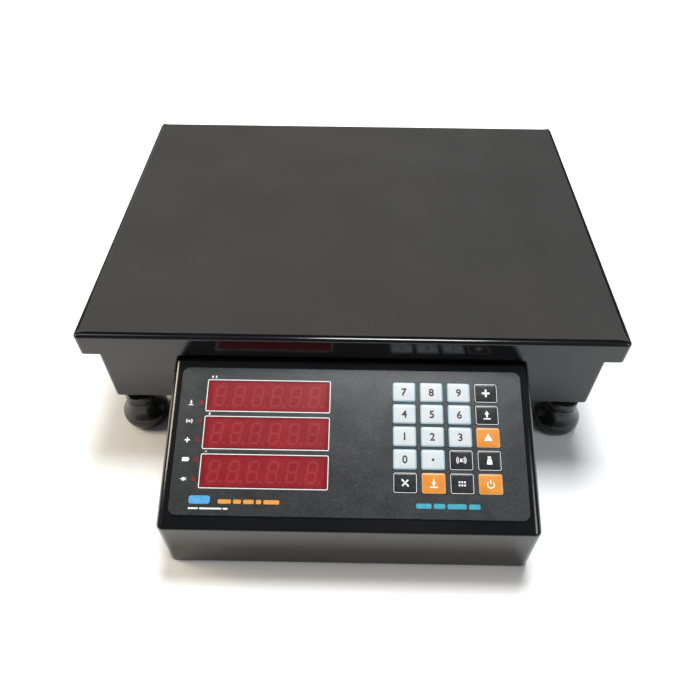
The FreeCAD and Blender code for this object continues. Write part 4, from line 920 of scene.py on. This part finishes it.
def makeInlet():
    low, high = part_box("mains_inlet")
    place = Matrix.Translation(((low.x + high.x) / 2, high.y, (low.z + high.z) / 2)) @ rearWall
    size = {key: tuple(x * mm for x in inletLook[key]) for key in ("body", "flange", "socket", "pin")}
    soft = inletLook["soften"] * mm
    back = -inletLook["flangeThick"] * mm
    floor = -inletLook["socketDepth"] * mm
    grown = (size["socket"][0] + 2 * soft, size["socket"][1] + 2 * soft)
    shell = stepped(inletLook["flangeCorner"] * mm * inletLook["cornerShare"], (
        (*size["body"], low.y - high.y), (*size["body"], back), (*size["flange"], back),
        (*size["flange"], -soft), (size["flange"][0] - 2 * soft, size["flange"][1] - 2 * soft, 0),
        (*grown, 0), (*size["socket"], -soft), (*size["socket"], floor)))
    shell.data.transform(place)
    smooth(shell, 30)
    give(shell, "inlet_shell", "base", [finish["inletPlastic"]])
    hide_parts("mains_inlet")
    reach = inletLook["pinReach"] * mm
    pins = []
    for u, v in inletLook["pins"]:
        pin = stepped(inletLook["pinCorner"] * mm, (
            (*size["pin"], floor - mm), (*size["pin"], floor + reach - mm),
            (size["pin"][0] * 0.5, size["pin"][1] * 0.75, floor + reach)))
        pin.data.transform(place @ Matrix.Translation((u * mm, v * mm, 0)))
        pins.append(pin)
    pins = joined(pins, "inlet_pins")
    smooth(pins, 30)
    give(pins, "inlet_pins", "base", [finish["brassPin"]])


makeInlet()
print("inlet made")


# floor, light and camera
def makeRoom():
    scene = bpy.context.scene
    deselect()
    bpy.ops.mesh.primitive_plane_add(size=room["floorSize"], location=(0, 0, 0))
    floor = bpy.context.object
    floor.name = "floor"
    paper = bpy.data.materials.new("floorPaper")
    paper.use_nodes = True
    shader = paper.node_tree.nodes["Principled BSDF"]
    shader.inputs["Base Color"].default_value = room["floorTone"]
    shader.inputs["Roughness"].default_value = room["floorRough"]
    floor.data.materials.append(paper)
    world = bpy.data.worlds.new("room")
    scene.world = world
    world.use_nodes = True
    sky = world.node_tree.nodes["Background"]
    sky.inputs["Color"].default_value = room["skyColour"]
    sky.inputs["Strength"].default_value = room["skyStrength"]
    for name, look in softboxes.items():
        lamp = bpy.data.lights.new(name, "AREA")
        lamp.shape = "RECTANGLE"
        lamp.size, lamp.size_y = look["size"]
        lamp.energy = look["power"]
        lamp.color = look["colour"]
        holder = bpy.data.objects.new(name, lamp)
        scene.collection.objects.link(holder)
        place = Vector(look["place"])
        holder.location = place
        holder.rotation_euler = (Vector(look["aim"]) - place).to_track_quat("-Z", "Y").to_euler()
    eye = bpy.data.cameras.new("camera")
    eye.lens = room["lens"]
    holder = bpy.data.objects.new("camera", eye)
    scene.collection.objects.link(holder)
    turn = (Euler((math.radians(90 - room["cameraDown"]), 0, -math.radians(room["cameraYaw"]))).to_matrix()
            @ Matrix.Rotation(math.radians(room["cameraRoll"]), 3, "Z"))
    holder.matrix_world = Matrix.Translation(room["cameraPlace"]) @ turn.to_4x4()
    scene.camera = holder
    scene.view_settings.view_transform = "Standard"


makeRoom()
print("room made")
